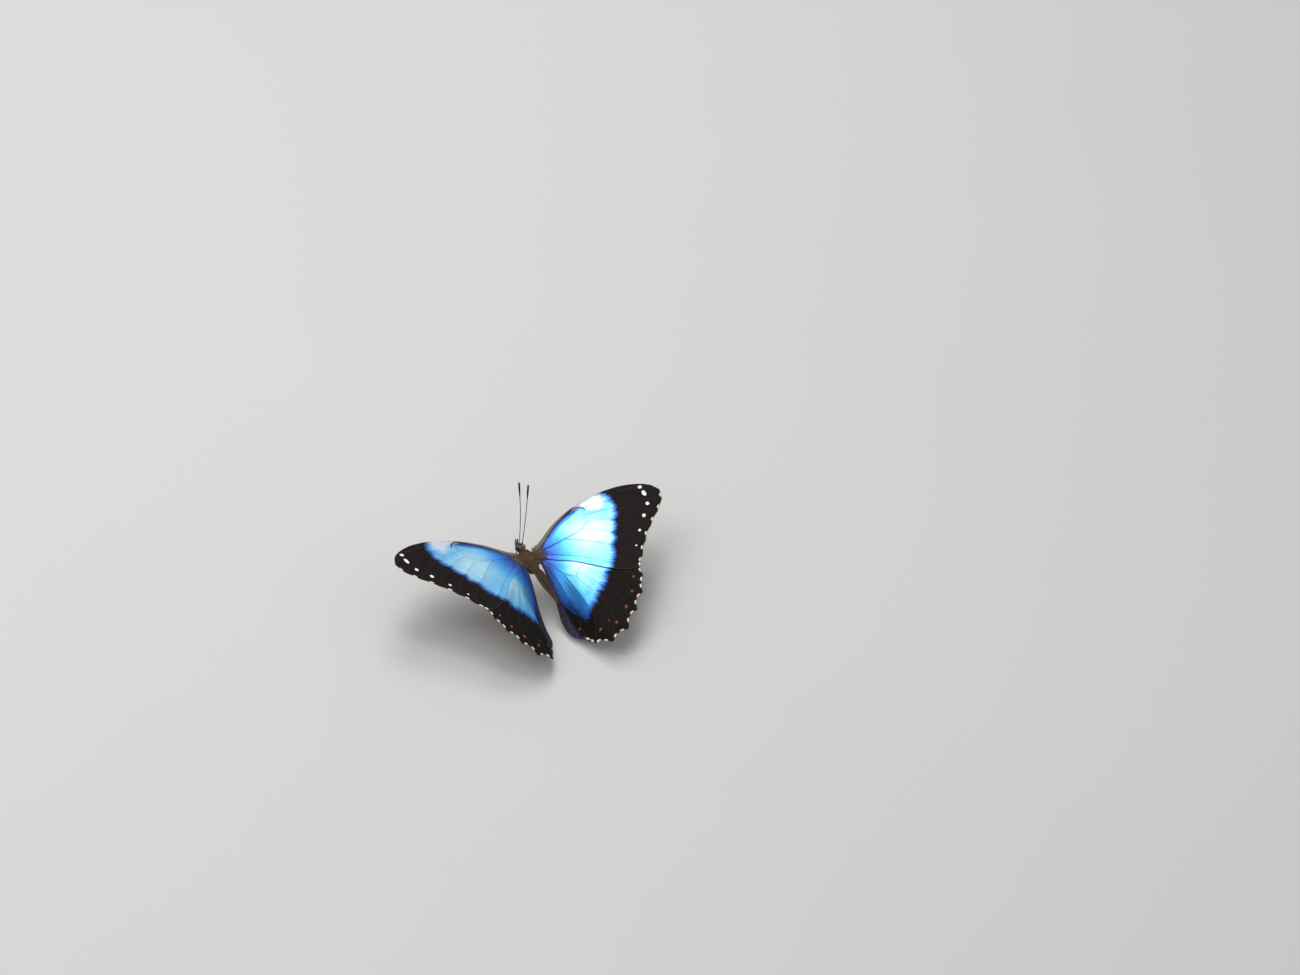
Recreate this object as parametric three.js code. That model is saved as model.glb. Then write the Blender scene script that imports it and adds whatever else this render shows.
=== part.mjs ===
import * as THREE from 'three';

// Blue morpho butterfly (Morpho helenor), life size, standing with its wings spread in a shallow V.
// Millimetres, +Z up, head toward -Y, the animal's left toward +X, feet on Z = 0.

// ---- stance ----------------------------------------------------------------------------------
const BODY_PITCH = 0;          // degrees the head end is raised
const WING_RAISE = 12.4;       // degrees each wing is lifted above the body's own level
const ROOT_HEIGHT = 19.0;      // wing roots above the floor
const ROOT_SIDE = 3.7;         // wing root out from the midline

// ---- wings -----------------------------------------------------------------------------------
const FORE_LENGTH = 62;        // wing root to tip
const SHEET = 0.5;             // wing thickness
const UNDER_GAP = 0.45;        // air between forewing and hindwing where they overlap
const FORE_CAMBER = 0.4;       // rise of the middle of the span
const HIND_SLOPE = 0.36;       // fall of the hindwing behind the forewing's hind corner line
const HIND_EASE = 6.0;         // how softly that fall sets in
const FOLD_DEPTH = 7.5;        // how far the inner edge folds down under the abdomen
const FOLD_WIDTH = 10.0;       // width of that fold
const FORE_CELLS = { along: 13, perBay: 3 };
const HIND_CELLS = { along: 11, perBay: 4 };

// Edge stations as [out along the span, forward of the root], in parts of the forewing length.
// ends: where veins meet the outer edge, as shares of it; bays: how deep it curves in between them.
const FORE = {
  root: [[-0.004, 0.030], [-0.006, -0.030]],
  front: [[-0.004, 0.030], [0.105, 0.092], [0.210, 0.150], [0.323, 0.195], [0.436, 0.223],
    [0.548, 0.237], [0.661, 0.239], [0.774, 0.224], [0.879, 0.190], [0.960, 0.138], [1.000, 0.070]],
  outer: [[1.000, 0.070], [0.978, 0.002], [0.916, -0.066], [0.836, -0.132], [0.750, -0.204],
    [0.676, -0.280], [0.612, -0.356], [0.544, -0.440]],
  inner: [[-0.006, -0.030], [0.082, -0.106], [0.195, -0.190], [0.279, -0.272], [0.360, -0.350],
    [0.452, -0.414], [0.544, -0.440]],
  ends: [0, 0.143, 0.293, 0.478, 0.672, 0.845, 1],
  bays: [0.15, 0.35, 0.45, 0.5, 0.5, 0.4],
};
const HIND = {
  root: [[0.000, 0.012], [-0.004, -0.075]],
  front: [[0.000, 0.012], [0.110, 0.040], [0.260, -0.005], [0.410, -0.110], [0.520, -0.250],
    [0.555, -0.385]],
  outer: [[0.555, -0.385], [0.547, -0.445], [0.516, -0.523], [0.456, -0.606], [0.377, -0.674],
    [0.290, -0.738], [0.205, -0.770], [0.125, -0.762], [0.062, -0.703], [0.018, -0.622]],
  inner: [[-0.004, -0.075], [-0.014, -0.190], [-0.026, -0.310], [-0.048, -0.430],
    [-0.042, -0.540], [0.018, -0.622]],
  ends: [0, 0.145, 0.286, 0.432, 0.598, 0.763, 0.9, 1],
  bays: [0.7, 0.8, 1.5, 1.8, 1.9, 1.6, 0.8],
};

// ---- body, as [forward of the wing roots, centre height from the roots, half width, half height] --
const BODY_SIDES = 18;
const THORAX = [[-7.0, -2.3, 0.9, 1.0], [-6.4, -2.3, 1.9, 2.1], [-5.0, -2.3, 2.6, 2.9],
  [-3.0, -2.25, 2.95, 3.4], [-0.8, -2.2, 3.05, 3.6], [1.2, -2.1, 2.95, 3.4],
  [2.9, -1.9, 2.45, 2.8], [3.8, -1.7, 1.7, 1.9], [4.1, -1.6, 1.0, 1.1]];
const HEAD = [[4.4, -1.3, 0.5, 0.8], [4.7, -1.2, 0.78, 1.35], [5.5, -1.0, 0.86, 1.7],
  [6.4, -1.0, 0.86, 1.65], [7.1, -1.1, 0.8, 1.3], [7.55, -1.25, 0.55, 0.8]];
const ABDOMEN_RINGS = 7;
const ABDOMEN = { front: -7.3, length: 18.5, top: -1.55, half: 2.15, tip: 0.55, bulge: 0.34, fall: 1.9 };
const ABDOMEN_GROOVE = 0.12;

// ---- head parts --------------------------------------------------------------------------------
const EYE = { side: 1.16, forward: 5.75, height: -0.85, radius: 1.32, bulge: 1.28 };
const ANTENNA = {
  foot: [0.75, 6.15, 1.05], shaft: 0.25, club: 0.48, length: 28, clubShare: 0.27, bow: 1.4,
};
const ANTENNA_LEAN = { left: [-0.010, 0.370, 0.930], right: [-0.030, 0.240, 0.970] };
const PALP = [[0.46, 8.05, -1.75], [0.50, 8.65, -1.2], [0.46, 9.1, -0.45], [0.42, 9.5, 0.3]];
const PALP_RADII = [0.33, 0.42, 0.36, 0.25];
const COIL = { forward: 6.4, height: -4.35, inner: 0.45, outer: 1.36, turns: 1.25, radius: 0.26 };

// ---- legs, left side; joints as [side, forward] in the body's level and a height over the floor --
const LEG_RADII = { hip: 0.5, femur: 0.42, knee: 0.34, tibia: 0.3, heel: 0.27, toe: 0.26 };
const FLOOR_LIFT = 0.2;        // centre line of the resting foot over the floor
const MIDLEG = {
  hip: [1.7, 0.4, 12.8], knee: [7.4, 4.6, 14.0], heel: [10.4, 9.2, 4.2], ball: [11.8, 11.8],
  toe: [13.2, 15.0],
};
const HINDLEG = {
  hip: [1.7, -3.0, 12.6], knee: [6.8, -9.6, 12.6], heel: [9.2, -18.8, 4.0], ball: [10.2, -22.0],
  toe: [11.4, -25.8],
};
const FORELEG = [[1.15, 3.3, -5.35], [1.35, 4.4, -5.1], [1.4, 5.1, -4.0], [1.15, 4.55, -3.55]];
const FORELEG_RADII = [0.26, 0.36, 0.32, 0.25];

const rad = THREE.MathUtils.degToRad;
const FORWARD = new THREE.Vector3(0, -Math.cos(rad(BODY_PITCH)), Math.sin(rad(BODY_PITCH)));
const UP = new THREE.Vector3(0, Math.sin(rad(BODY_PITCH)), Math.cos(rad(BODY_PITCH)));
const ROOTS = new THREE.Vector3(0, 0, ROOT_HEIGHT);

// Body directions to model space: side (animal's left), forward and up, measured from the wing roots.
function bodyPoint(side, forward, up) {
  return ROOTS.clone().addScaledVector(FORWARD, forward).addScaledVector(UP, up)
    .add(new THREE.Vector3(side, 0, 0));
}

function smooth(x) {
  const c = THREE.MathUtils.clamp(x, 0, 1);
  return c * c * (3 - 2 * c);
}

// ---- wing surfaces -------------------------------------------------------------------------------
function edgeCurve(stations) {
  return new THREE.SplineCurve(stations.map(([s, t]) =>
    new THREE.Vector2(s * FORE_LENGTH, t * FORE_LENGTH)));
}

// How far the outer edge curves in at a share v of its length.
function bayDepth(edges, v) {
  const last = edges.bays.length - 1;
  const k = Math.min(edges.ends.findLastIndex((end) => end <= v), last);
  const share = (v - edges.ends[k]) / (edges.ends[k + 1] - edges.ends[k]);
  return edges.bays[k] * Math.max(Math.sin(Math.PI * share), 0) ** 1.15;
}

// A patch stretched between its four edges; u runs from root to margin, v from front to back.
function wingPatch(edges) {
  const root = edgeCurve(edges.root);
  const front = edgeCurve(edges.front);
  const outer = edgeCurve(edges.outer);
  const inner = edgeCurve(edges.inner);
  const corner = (c, k) => c.getPointAt(k);
  return (u, v) => {
    const p = new THREE.Vector2()
      .addScaledVector(front.getPointAt(u), 1 - v)
      .addScaledVector(inner.getPointAt(u), v)
      .addScaledVector(root.getPointAt(v), 1 - u)
      .addScaledVector(outer.getPointAt(v), u);
    p.addScaledVector(corner(front, 0), -(1 - u) * (1 - v));
    p.addScaledVector(corner(inner, 0), -(1 - u) * v);
    p.addScaledVector(corner(outer, 0), -u * (1 - v));
    p.addScaledVector(corner(outer, 1), -u * v);
    const bay = smooth((u - 0.8) / 0.2) * bayDepth(edges, v);
    return p.setLength(Math.max(p.length() - bay, 0.01));
  };
}

function foreHeight(s, t) {
  const span = THREE.MathUtils.clamp(s / FORE_LENGTH, 0, 1);
  const chord = t / FORE_LENGTH;
  return FORE_CAMBER * Math.sin(Math.PI * span ** 0.8) - 3.0 * chord * chord;
}

// The hindwing lies against the forewing as far as the line to the forewing's hind corner,
// falls away behind it, and its inner edge folds down beside and under the abdomen.
function hindHeight(s, t) {
  const corner = FORE.outer[FORE.outer.length - 1];
  const reach = Math.hypot(...corner);
  const behind = Math.max((s * corner[1] - t * corner[0]) / reach, 0);
  const fall = HIND_SLOPE * (Math.hypot(behind, HIND_EASE) - HIND_EASE);
  const fold = smooth(1 - (s + 0.8) / FOLD_WIDTH) * smooth((-t - 5) / 24)
    * (1 - 0.3 * smooth((-t - 28) / 12));
  return foreHeight(s, t) - SHEET - UNDER_GAP - fall - FOLD_DEPTH * fold;
}

function wingPoint(p, height, lift) {
  const a = rad(WING_RAISE);
  const out = ROOT_SIDE + p.x * Math.cos(a) - (height + lift) * Math.sin(a);
  return bodyPoint(out, p.y, p.x * Math.sin(a) + (height + lift) * Math.cos(a));
}

// Closed sheet between a top and a bottom grid, with the same number of cells in every bay.
function wing(edges, height, cells) {
  const patch = wingPatch(edges);
  const across = cells.perBay * edges.bays.length;
  const rows = cells.along + 1;
  const cols = across + 1;
  const station = (j) => {
    const k = Math.min(Math.floor(j / cells.perBay), edges.bays.length - 1);
    return THREE.MathUtils.lerp(edges.ends[k], edges.ends[k + 1], j / cells.perBay - k);
  };
  const points = [];
  for (const lift of [0, -SHEET]) {
    for (let i = 0; i < rows; i += 1) {
      for (let j = 0; j < cols; j += 1) {
        const p = patch(i / cells.along, station(j));
        points.push(wingPoint(p, height(p.x, p.y), lift));
      }
    }
  }
  const at = (layer, i, j) => layer * rows * cols + i * cols + j;
  const index = [];
  const quad = (a, b, c, d) => index.push(a, b, c, a, c, d);
  for (let i = 0; i < cells.along; i += 1) {
    for (let j = 0; j < across; j += 1) {
      quad(at(0, i, j), at(0, i, j + 1), at(0, i + 1, j + 1), at(0, i + 1, j));
      quad(at(1, i, j), at(1, i + 1, j), at(1, i + 1, j + 1), at(1, i, j + 1));
    }
  }
  for (let i = 0; i < cells.along; i += 1) {
    quad(at(0, i, 0), at(0, i + 1, 0), at(1, i + 1, 0), at(1, i, 0));
    quad(at(1, i, across), at(1, i + 1, across),
      at(0, i + 1, across), at(0, i, across));
  }
  for (let j = 0; j < across; j += 1) {
    quad(at(1, 0, j), at(1, 0, j + 1), at(0, 0, j + 1), at(0, 0, j));
    quad(at(0, cells.along, j), at(0, cells.along, j + 1),
      at(1, cells.along, j + 1), at(1, cells.along, j));
  }
  return facesOut(points, index);
}

// ---- closed lofts ----------------------------------------------------------------------------------
function facesOut(points, index) {
  let volume = 0;
  for (let k = 0; k < index.length; k += 3) {
    const [a, b, c] = [points[index[k]], points[index[k + 1]], points[index[k + 2]]];
    volume += a.dot(b.clone().cross(c));
  }
  if (volume < 0) {
    index.reverse();
  }
  const geometry = new THREE.BufferGeometry().setFromPoints(points);
  geometry.setIndex(index);
  geometry.computeVertexNormals();
  return geometry;
}

// Rings of equal length joined into a tube, each end closed on its middle.
function loft(rings) {
  const sides = rings[0].length;
  const points = rings.flat();
  const index = [];
  for (let i = 0; i + 1 < rings.length; i += 1) {
    for (let j = 0; j < sides; j += 1) {
      const a = i * sides + j;
      const b = i * sides + (j + 1) % sides;
      index.push(a, b, b + sides, a, b + sides, a + sides);
    }
  }
  for (const [ring, turn] of [[0, 1], [rings.length - 1, -1]]) {
    const centre = new THREE.Vector3();
    rings[ring].forEach((p) => centre.addScaledVector(p, 1 / sides));
    points.push(centre);
    for (let j = 0; j < sides; j += 1) {
      const a = ring * sides + j;
      const b = ring * sides + (j + 1) % sides;
      index.push(points.length - 1, turn > 0 ? b : a, turn > 0 ? a : b);
    }
  }
  return facesOut(points, index);
}

function bodyLoft(stations, sides = BODY_SIDES) {
  return loft(stations.map(([forward, up, halfWidth, halfHeight]) =>
    Array.from({ length: sides }, (_, j) => {
      const a = (2 * Math.PI * j) / sides;
      return bodyPoint(halfWidth * Math.cos(a), forward, up + halfHeight * Math.sin(a));
    })));
}

// Round tube along a path; anything below the floor is flattened onto it.
function tube(path, radii, sides, floor = -Infinity) {
  const rings = [];
  let across = new THREE.Vector3(0, 0, 1);
  path.forEach((p, i) => {
    const before = path[Math.max(i - 1, 0)];
    const after = path[Math.min(i + 1, path.length - 1)];
    const along = after.clone().sub(before).normalize();
    across = across.clone().addScaledVector(along, -across.dot(along)).normalize();
    const third = along.clone().cross(across);
    rings.push(Array.from({ length: sides }, (_, j) => {
      const a = (2 * Math.PI * (j + 0.5)) / sides;
      const q = p.clone().addScaledVector(across, radii[i] * Math.cos(a))
        .addScaledVector(third, radii[i] * Math.sin(a));
      q.z = Math.max(q.z, floor);
      return q;
    }));
  });
  return loft(rings);
}

function smoothTube(points, radii, steps, sides, floor) {
  const curve = new THREE.CatmullRomCurve3(points, false, 'centripetal');
  const path = [];
  const girth = [];
  for (let i = 0; i <= steps; i += 1) {
    const x = (i / steps) * (points.length - 1);
    const k = Math.min(Math.floor(x), points.length - 2);
    path.push(curve.getPoint(i / steps));
    girth.push(THREE.MathUtils.lerp(radii[k], radii[k + 1], x - k));
  }
  return tube(path, girth, sides, floor);
}

// ---- parts --------------------------------------------------------------------------------------------
function abdomenStations() {
  const { front, length, top, half, tip, bulge, fall } = ABDOMEN;
  const stations = [];
  const steps = ABDOMEN_RINGS * 2;
  for (let i = 0; i <= steps; i += 1) {
    const x = i / steps;
    const swell = Math.sin(Math.PI * Math.min(x / bulge, 1) / 2) ** 0.6;
    const taper = 1 - smooth((x - bulge) / (1 - bulge)) * (1 - tip / half);
    const ridge = i % 2 === 0 && i > 0 && i < steps ? ABDOMEN_GROOVE : 0;
    const width = Math.max(half * Math.max(swell, 0.45) * taper - ridge, 0.4);
    stations.push([front - length * x, top - fall * x * x, width, width * 1.05]);
  }
  return stations;
}

function eye() {
  const rings = [];
  const steps = 7;
  for (let i = 0; i <= steps; i += 1) {
    const a = (Math.PI / 2) * Math.min(i / steps, 0.97);
    const r = EYE.radius * Math.cos(a);
    rings.push(Array.from({ length: 18 }, (_, j) => {
      const b = (2 * Math.PI * j) / 18;
      return bodyPoint(EYE.side + EYE.bulge * Math.sin(a), EYE.forward + r * 0.92 * Math.cos(b),
        EYE.height + r * 1.08 * Math.sin(b));
    }));
  }
  return loft(rings);
}

function antenna(lean, mirror) {
  const [side, forward, up] = ANTENNA.foot;
  const direction = new THREE.Vector3(...lean).normalize();
  const path = [];
  const radii = [];
  const steps = 20;
  for (let i = 0; i <= steps; i += 1) {
    const x = i / steps;
    const bow = ANTENNA.bow * Math.sin(Math.PI * x) * 0.5;
    path.push(bodyPoint(side * mirror + direction.x * ANTENNA.length * x - bow * 0.25 * mirror,
      forward + direction.y * ANTENNA.length * x - bow,
      up + direction.z * ANTENNA.length * x + bow * 0.3));
    const club = smooth((x - 1 + ANTENNA.clubShare) / (ANTENNA.clubShare * 0.6));
    const end = x > 0.97 ? 0.62 : 1;
    radii.push((ANTENNA.shaft + (ANTENNA.club - ANTENNA.shaft) * club) * end);
  }
  return tube(path, radii, 8);
}

function proboscis() {
  const path = [];
  const steps = 26;
  for (let i = 0; i <= steps; i += 1) {
    const x = i / steps;
    const r = THREE.MathUtils.lerp(COIL.outer, COIL.inner, x);
    const a = Math.PI * 0.62 - 2 * Math.PI * COIL.turns * x;
    path.push(bodyPoint(0, COIL.forward + r * Math.cos(a), COIL.height + r * Math.sin(a)));
  }
  return tube(path, path.map(() => COIL.radius), 8);
}

function walkingLeg({ hip, knee, heel, ball, toe }) {
  const floor = ([x, forward], z) => new THREE.Vector3(x, -forward, z);
  const path = [];
  const radii = [];
  const { hip: h, femur, knee: k, tibia, heel: e, toe: o } = LEG_RADII;
  const bend = (a, b, steps, ra, rb, belly) => {
    for (let i = 0; i < steps; i += 1) {
      const x = i / steps;
      path.push(a.clone().lerp(b, x));
      radii.push(THREE.MathUtils.lerp(ra, rb, x) + belly * Math.sin(Math.PI * x));
    }
  };
  const hipPoint = new THREE.Vector3(hip[0], -hip[1], hip[2]);
  const kneePoint = new THREE.Vector3(knee[0], -knee[1], knee[2]);
  const heelPoint = new THREE.Vector3(heel[0], -heel[1], heel[2]);
  bend(hipPoint, kneePoint, 5, h, k, femur - (h + k) / 2 + 0.06);
  bend(kneePoint, heelPoint, 5, k, e, tibia - (k + e) / 2 + 0.02);
  bend(heelPoint, floor(ball, FLOOR_LIFT), 2, e, o, 0);
  bend(floor(ball, FLOOR_LIFT), floor(toe, FLOOR_LIFT), 3, o, o, 0);
  path.push(floor(toe, FLOOR_LIFT));
  radii.push(o);
  return tube(path, radii, 8, 0);
}

// ---- assembly --------------------------------------------------------------------------------------------
const group = new THREE.Group();
group.name = 'blue_morpho_butterfly';

const LOOKS = {
  fur: { color: '#4a3d30', roughness: 0.95, metalness: 0 },
  eye: { color: '#2a1a14', roughness: 0.25, metalness: 0 },
  feeler: { color: '#241a14', roughness: 0.6, metalness: 0 },
  blue: { color: '#2f86e0', roughness: 0.35, metalness: 0.3 },
};

function add(name, geometry, look) {
  const mesh = new THREE.Mesh(geometry, new THREE.MeshStandardMaterial(LOOKS[look]));
  mesh.name = name;
  group.add(mesh);
}

function mirrored(geometry) {
  const copy = geometry.clone().applyMatrix4(new THREE.Matrix4().makeScale(-1, 1, 1));
  copy.index.array.reverse();
  copy.computeVertexNormals();
  return copy;
}

function addPair(name, geometry, look) {
  add(`${name}_left`, geometry, look);
  add(`${name}_right`, mirrored(geometry), look);
}

add('thorax', bodyLoft(THORAX), 'fur');
add('head', bodyLoft(HEAD), 'fur');
add('abdomen', bodyLoft(abdomenStations()), 'fur');
addPair('eye', eye(), 'eye');
add('antenna_left', antenna(ANTENNA_LEAN.left, 1), 'feeler');
add('antenna_right', antenna(ANTENNA_LEAN.right, -1), 'feeler');
addPair('palp', smoothTube(PALP.map((p) => bodyPoint(...p)), PALP_RADII, 9, 10), 'fur');
add('proboscis', proboscis(), 'feeler');
addPair('forewing', wing(FORE, foreHeight, FORE_CELLS), 'blue');
addPair('hindwing', wing(HIND, hindHeight, HIND_CELLS), 'blue');
addPair('foreleg', smoothTube(FORELEG.map((p) => bodyPoint(...p)), FORELEG_RADII, 9, 8), 'feeler');
addPair('midleg', walkingLeg(MIDLEG), 'feeler');
addPair('hindleg', walkingLeg(HINDLEG), 'feeler');

// Centre the model over the origin, front to back.
const box = new THREE.Box3().setFromObject(group);
const middle = (box.min.y + box.max.y) / 2;
group.children.forEach((mesh) => mesh.geometry.translate(0, -middle, 0));

export default group;
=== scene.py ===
import math

import bpy
import numpy as np
from mathutils import Matrix, Vector


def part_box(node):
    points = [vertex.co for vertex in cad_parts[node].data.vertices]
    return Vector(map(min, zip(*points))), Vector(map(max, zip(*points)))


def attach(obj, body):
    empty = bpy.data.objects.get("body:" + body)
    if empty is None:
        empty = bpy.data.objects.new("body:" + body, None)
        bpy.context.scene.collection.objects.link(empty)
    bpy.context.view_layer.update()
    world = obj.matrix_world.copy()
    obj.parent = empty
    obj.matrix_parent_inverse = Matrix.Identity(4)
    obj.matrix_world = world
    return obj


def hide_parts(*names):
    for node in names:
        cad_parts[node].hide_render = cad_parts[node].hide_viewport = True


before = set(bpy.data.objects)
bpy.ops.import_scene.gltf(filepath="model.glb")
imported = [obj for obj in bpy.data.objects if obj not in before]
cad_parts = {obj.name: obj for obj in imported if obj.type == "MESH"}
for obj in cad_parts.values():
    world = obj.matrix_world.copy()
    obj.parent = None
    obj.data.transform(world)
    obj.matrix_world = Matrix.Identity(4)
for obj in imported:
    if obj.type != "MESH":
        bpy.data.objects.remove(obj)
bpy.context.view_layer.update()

# Blue morpho butterfly, a still model. Lengths below are millimetres; meshes are written in metres.
# The animal faces -Y. A wing is drawn in its own plane: s runs out from its root and t forward.
MM = 0.001
SEED = 20
LENGTH = 62.0          # forewing, root to tip
WING_RAISE = math.radians(12.4)
ROOT_SIDE = 3.7        # wing roots from the middle plane
ROOT_HEIGHT = 19.0     # wing roots over the floor
CAD_SHEET = 0.5        # thickness of a CAD wing
UNDER_GAP = 0.45       # between the forewing and the hindwing under it
MEMBRANE = 0.16        # thickness of the visible wing
SIDES = (("left", np.array([1.0, 1, 1])), ("right", np.array([-1.0, 1, 1])))

# The wing roots' place along the body follows from the thorax, which ends 4.1 mm in front of them.
ROOT_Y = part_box("thorax")[0][1] / MM + 4.1


# ---------------------------------------------------------------- small maths
def smooth(x):
    x = np.clip(x, 0.0, 1.0)
    return x * x * (3 - 2 * x)


def mix(a, b, k):
    return a + (b - a) * k


def bell(x, middle, width):
    """Bell curve, 1 at the middle."""
    return np.exp(-(((x - middle) / width) ** 2))


def unit(v):
    return v / np.maximum(np.linalg.norm(v, axis=-1, keepdims=True), 1e-9)


def rgb(*parts):
    return np.array(parts)


def body_point(side, forward, up):
    """Model millimetres of a place measured from between the wing roots."""
    return np.stack([side, ROOT_Y - forward, ROOT_HEIGHT + up], axis=-1)


def spline(points, n=400):
    """Catmull-Rom curve through the points, resampled evenly along its length."""
    p = np.asarray(points, float)
    m = len(p) - 1
    t = np.linspace(0, m, 60 * m + 1)
    k = np.minimum(t.astype(int), m - 1)
    f = (t - k)[:, None]
    a = p[np.where(k == 0, k, k - 1)]
    b, c = p[k], p[k + 1]
    d = p[np.where(k > m - 2, k + 1, k + 2).clip(max=m)]
    v0, v1 = (c - a) * 0.5, (d - b) * 0.5
    q = (2 * b - 2 * c + v0 + v1) * f**3 + (-3 * b + 3 * c - 2 * v0 - v1) * f**2 + v0 * f + b
    run = np.concatenate([[0], np.cumsum(np.linalg.norm(np.diff(q, axis=0), axis=1))])
    s = np.linspace(0, run[-1], n)
    return np.stack([np.interp(s, run, q[:, i]) for i in range(q.shape[1])], axis=1)


def along(curve, k):
    x = np.asarray(k) * (len(curve) - 1)
    i = np.arange(len(curve))
    return np.stack([np.interp(x, i, curve[:, j]) for j in range(curve.shape[1])], axis=-1)


def noise2(x, y, seed, octaves=3):
    """Smooth value noise over the plane, about -1 to 1."""
    total = np.zeros(np.broadcast(x, y).shape)
    gain = 1.0
    for o in range(octaves):
        r = np.random.default_rng(seed + 7 * o)
        table = r.uniform(-1, 1, (256, 256))
        fx, fy = np.floor(x), np.floor(y)
        u, v = smooth(x - fx), smooth(y - fy)
        i, j = fx.astype(int) % 256, fy.astype(int) % 256
        i1, j1 = (i + 1) % 256, (j + 1) % 256
        total += gain * mix(mix(table[i, j], table[i1, j], u), mix(table[i, j1], table[i1, j1], u), v)
        x, y, gain = x * 2.03, y * 2.03, gain * 0.5
    return total / 1.75


def line_distance(points, line):
    """Distance of every point from a polyline."""
    best = np.full(len(points), 1e9)
    for a, b in zip(line[:-1], line[1:]):
        d = b - a
        k = np.clip(((points - a) @ d) / max(d @ d, 1e-12), 0, 1)
        best = np.minimum(best, np.linalg.norm(points - a - k[:, None] * d, axis=1))
    return best


def inside_distance(points, outline):
    """Signed distance to a closed outline, positive inside."""
    ring = np.vstack([outline, outline[:1]])
    far = line_distance(points, ring)
    x, y = points[:, 0], points[:, 1]
    inside = np.zeros(len(points), bool)
    for (ax, ay), (bx, by) in zip(ring[:-1], ring[1:]):
        cross = (ay > y) != (by > y)
        inside ^= cross & (x < (bx - ax) * (y - ay) / (by - ay + 1e-12) + ax)
    return np.where(inside, far, -far)


# ---------------------------------------------------------------- meshes
def build(name, verts, faces, materials, slots=None, uv=None, floats=None, colour=None):
    """Mesh object from millimetre points. faces: one array, or several, of equal-sided faces."""
    groups = faces if isinstance(faces, list) else [faces]
    groups = [np.asarray(g, np.int32) for g in groups]
    mesh = bpy.data.meshes.new(name)
    corner = np.concatenate([g.ravel() for g in groups])
    sizes = np.concatenate([np.full(len(g), g.shape[1], np.int32) for g in groups])
    mesh.vertices.add(len(verts))
    mesh.vertices.foreach_set("co", (np.asarray(verts) * MM).astype(np.float32).ravel())
    mesh.loops.add(len(corner))
    mesh.loops.foreach_set("vertex_index", corner)
    mesh.polygons.add(len(sizes))
    mesh.polygons.foreach_set("loop_start", np.concatenate([[0], np.cumsum(sizes)[:-1]]).astype(np.int32))
    mesh.polygons.foreach_set("loop_total", sizes)
    mesh.polygons.foreach_set("use_smooth", np.full(len(sizes), True))
    for m in materials:
        mesh.materials.append(m)
    if slots is not None:
        mesh.polygons.foreach_set("material_index", np.asarray(slots, np.int32))
    mesh.update(calc_edges=True)
    if uv is not None:
        layer = mesh.uv_layers.new(name="OFBake")
        per_corner = uv if len(uv) == len(corner) else uv[corner]
        layer.data.foreach_set("uv", per_corner.astype(np.float32).ravel())
    for key, values in (floats or {}).items():
        mesh.attributes.new(key, "FLOAT", "POINT").data.foreach_set("value", values.astype(np.float32))
    if colour is not None:
        rgba = np.concatenate([colour, np.ones((len(colour), 1))], axis=1).astype(np.float32)
        mesh.attributes.new("tint", "FLOAT_COLOR", "POINT").data.foreach_set("color", rgba.ravel())
    mesh.validate()
    piece = bpy.data.objects.new(name, mesh)
    bpy.context.scene.collection.objects.link(piece)
    return piece


def grid_faces(rows, cols, start=0, wrap=False):
    i, j = np.meshgrid(np.arange(rows - 1), np.arange(cols if wrap else cols - 1), indexing="ij")
    k = (j + 1) % cols
    a, b = start + i * cols + j, start + i * cols + k
    return np.stack([a, b, b + cols, a + cols], axis=-1).reshape(-1, 4)


def frames(path):
    """Two directions across a path at each of its points, turning as little as possible."""
    path = np.asarray(path, float)
    step = np.gradient(path, axis=0)
    step /= np.linalg.norm(step, axis=1, keepdims=True)
    first = np.array([0.0, 0.0, 1.0]) if abs(step[0][2]) < 0.9 else np.array([1.0, 0, 0])
    out = []
    for t in step:
        first = first - t * (first @ t)
        first = first / np.linalg.norm(first)
        out.append((first, np.cross(t, first)))
    return np.array([o[0] for o in out]), np.array([o[1] for o in out])


def end_caps(rows, cols):
    """Triangles from a wrapped grid's end rings to two middle points that follow the grid's own points."""
    j = np.arange(cols)
    k, last = (j + 1) % cols, (rows - 1) * cols
    front, back = np.full(cols, rows * cols), np.full(cols, rows * cols + 1)
    return np.concatenate([np.stack([front, k, j], axis=1), np.stack([back, last + j, last + k], axis=1)])


def closed_grid(verts, rows, cols, ends=None):
    """Points and faces of a wrapped grid, closed at given end points or at the middles of its end rings."""
    if ends is None:
        ends = [verts[:cols].mean(axis=0), verts[-cols:].mean(axis=0)]
    return np.vstack([verts, *ends]), [grid_faces(rows, cols, wrap=True), end_caps(rows, cols)]


def tube(path, radii, sides=14):
    """Closed tube: points, faces, and per-point (length share, angle share)."""
    path, radii = np.asarray(path, float), np.asarray(radii, float)
    n = len(path)
    one, two = frames(path)
    a = np.linspace(0, 2 * np.pi, sides, endpoint=False)
    ring = np.cos(a)[None, :, None] * one[:, None] + np.sin(a)[None, :, None] * two[:, None]
    verts = (path[:, None] + ring * radii[:, None, None]).reshape(-1, 3)
    verts, faces = closed_grid(verts, n, sides, [path[0], path[-1]])
    share = np.repeat(np.linspace(0, 1, n), sides)
    angle = np.tile(np.arange(sides) / sides, n)
    return verts, faces, np.append(share, [0, 1]), np.append(angle, [0, 0])


def join_shapes(shapes):
    """Several (verts, [quads, tris], share, angle) shapes as one."""
    verts, quads, tris, share, angle = [], [], [], [], []
    count = 0
    for v, (q, t), s, a in shapes:
        verts.append(v)
        quads.append(q + count)
        tris.append(t + count)
        share.append(s)
        angle.append(a)
        count += len(v)
    return np.vstack(verts), [np.vstack(quads), np.vstack(tris)], np.concatenate(share), np.concatenate(angle)


def turned(faces):
    return [g[:, ::-1] for g in faces]


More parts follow.
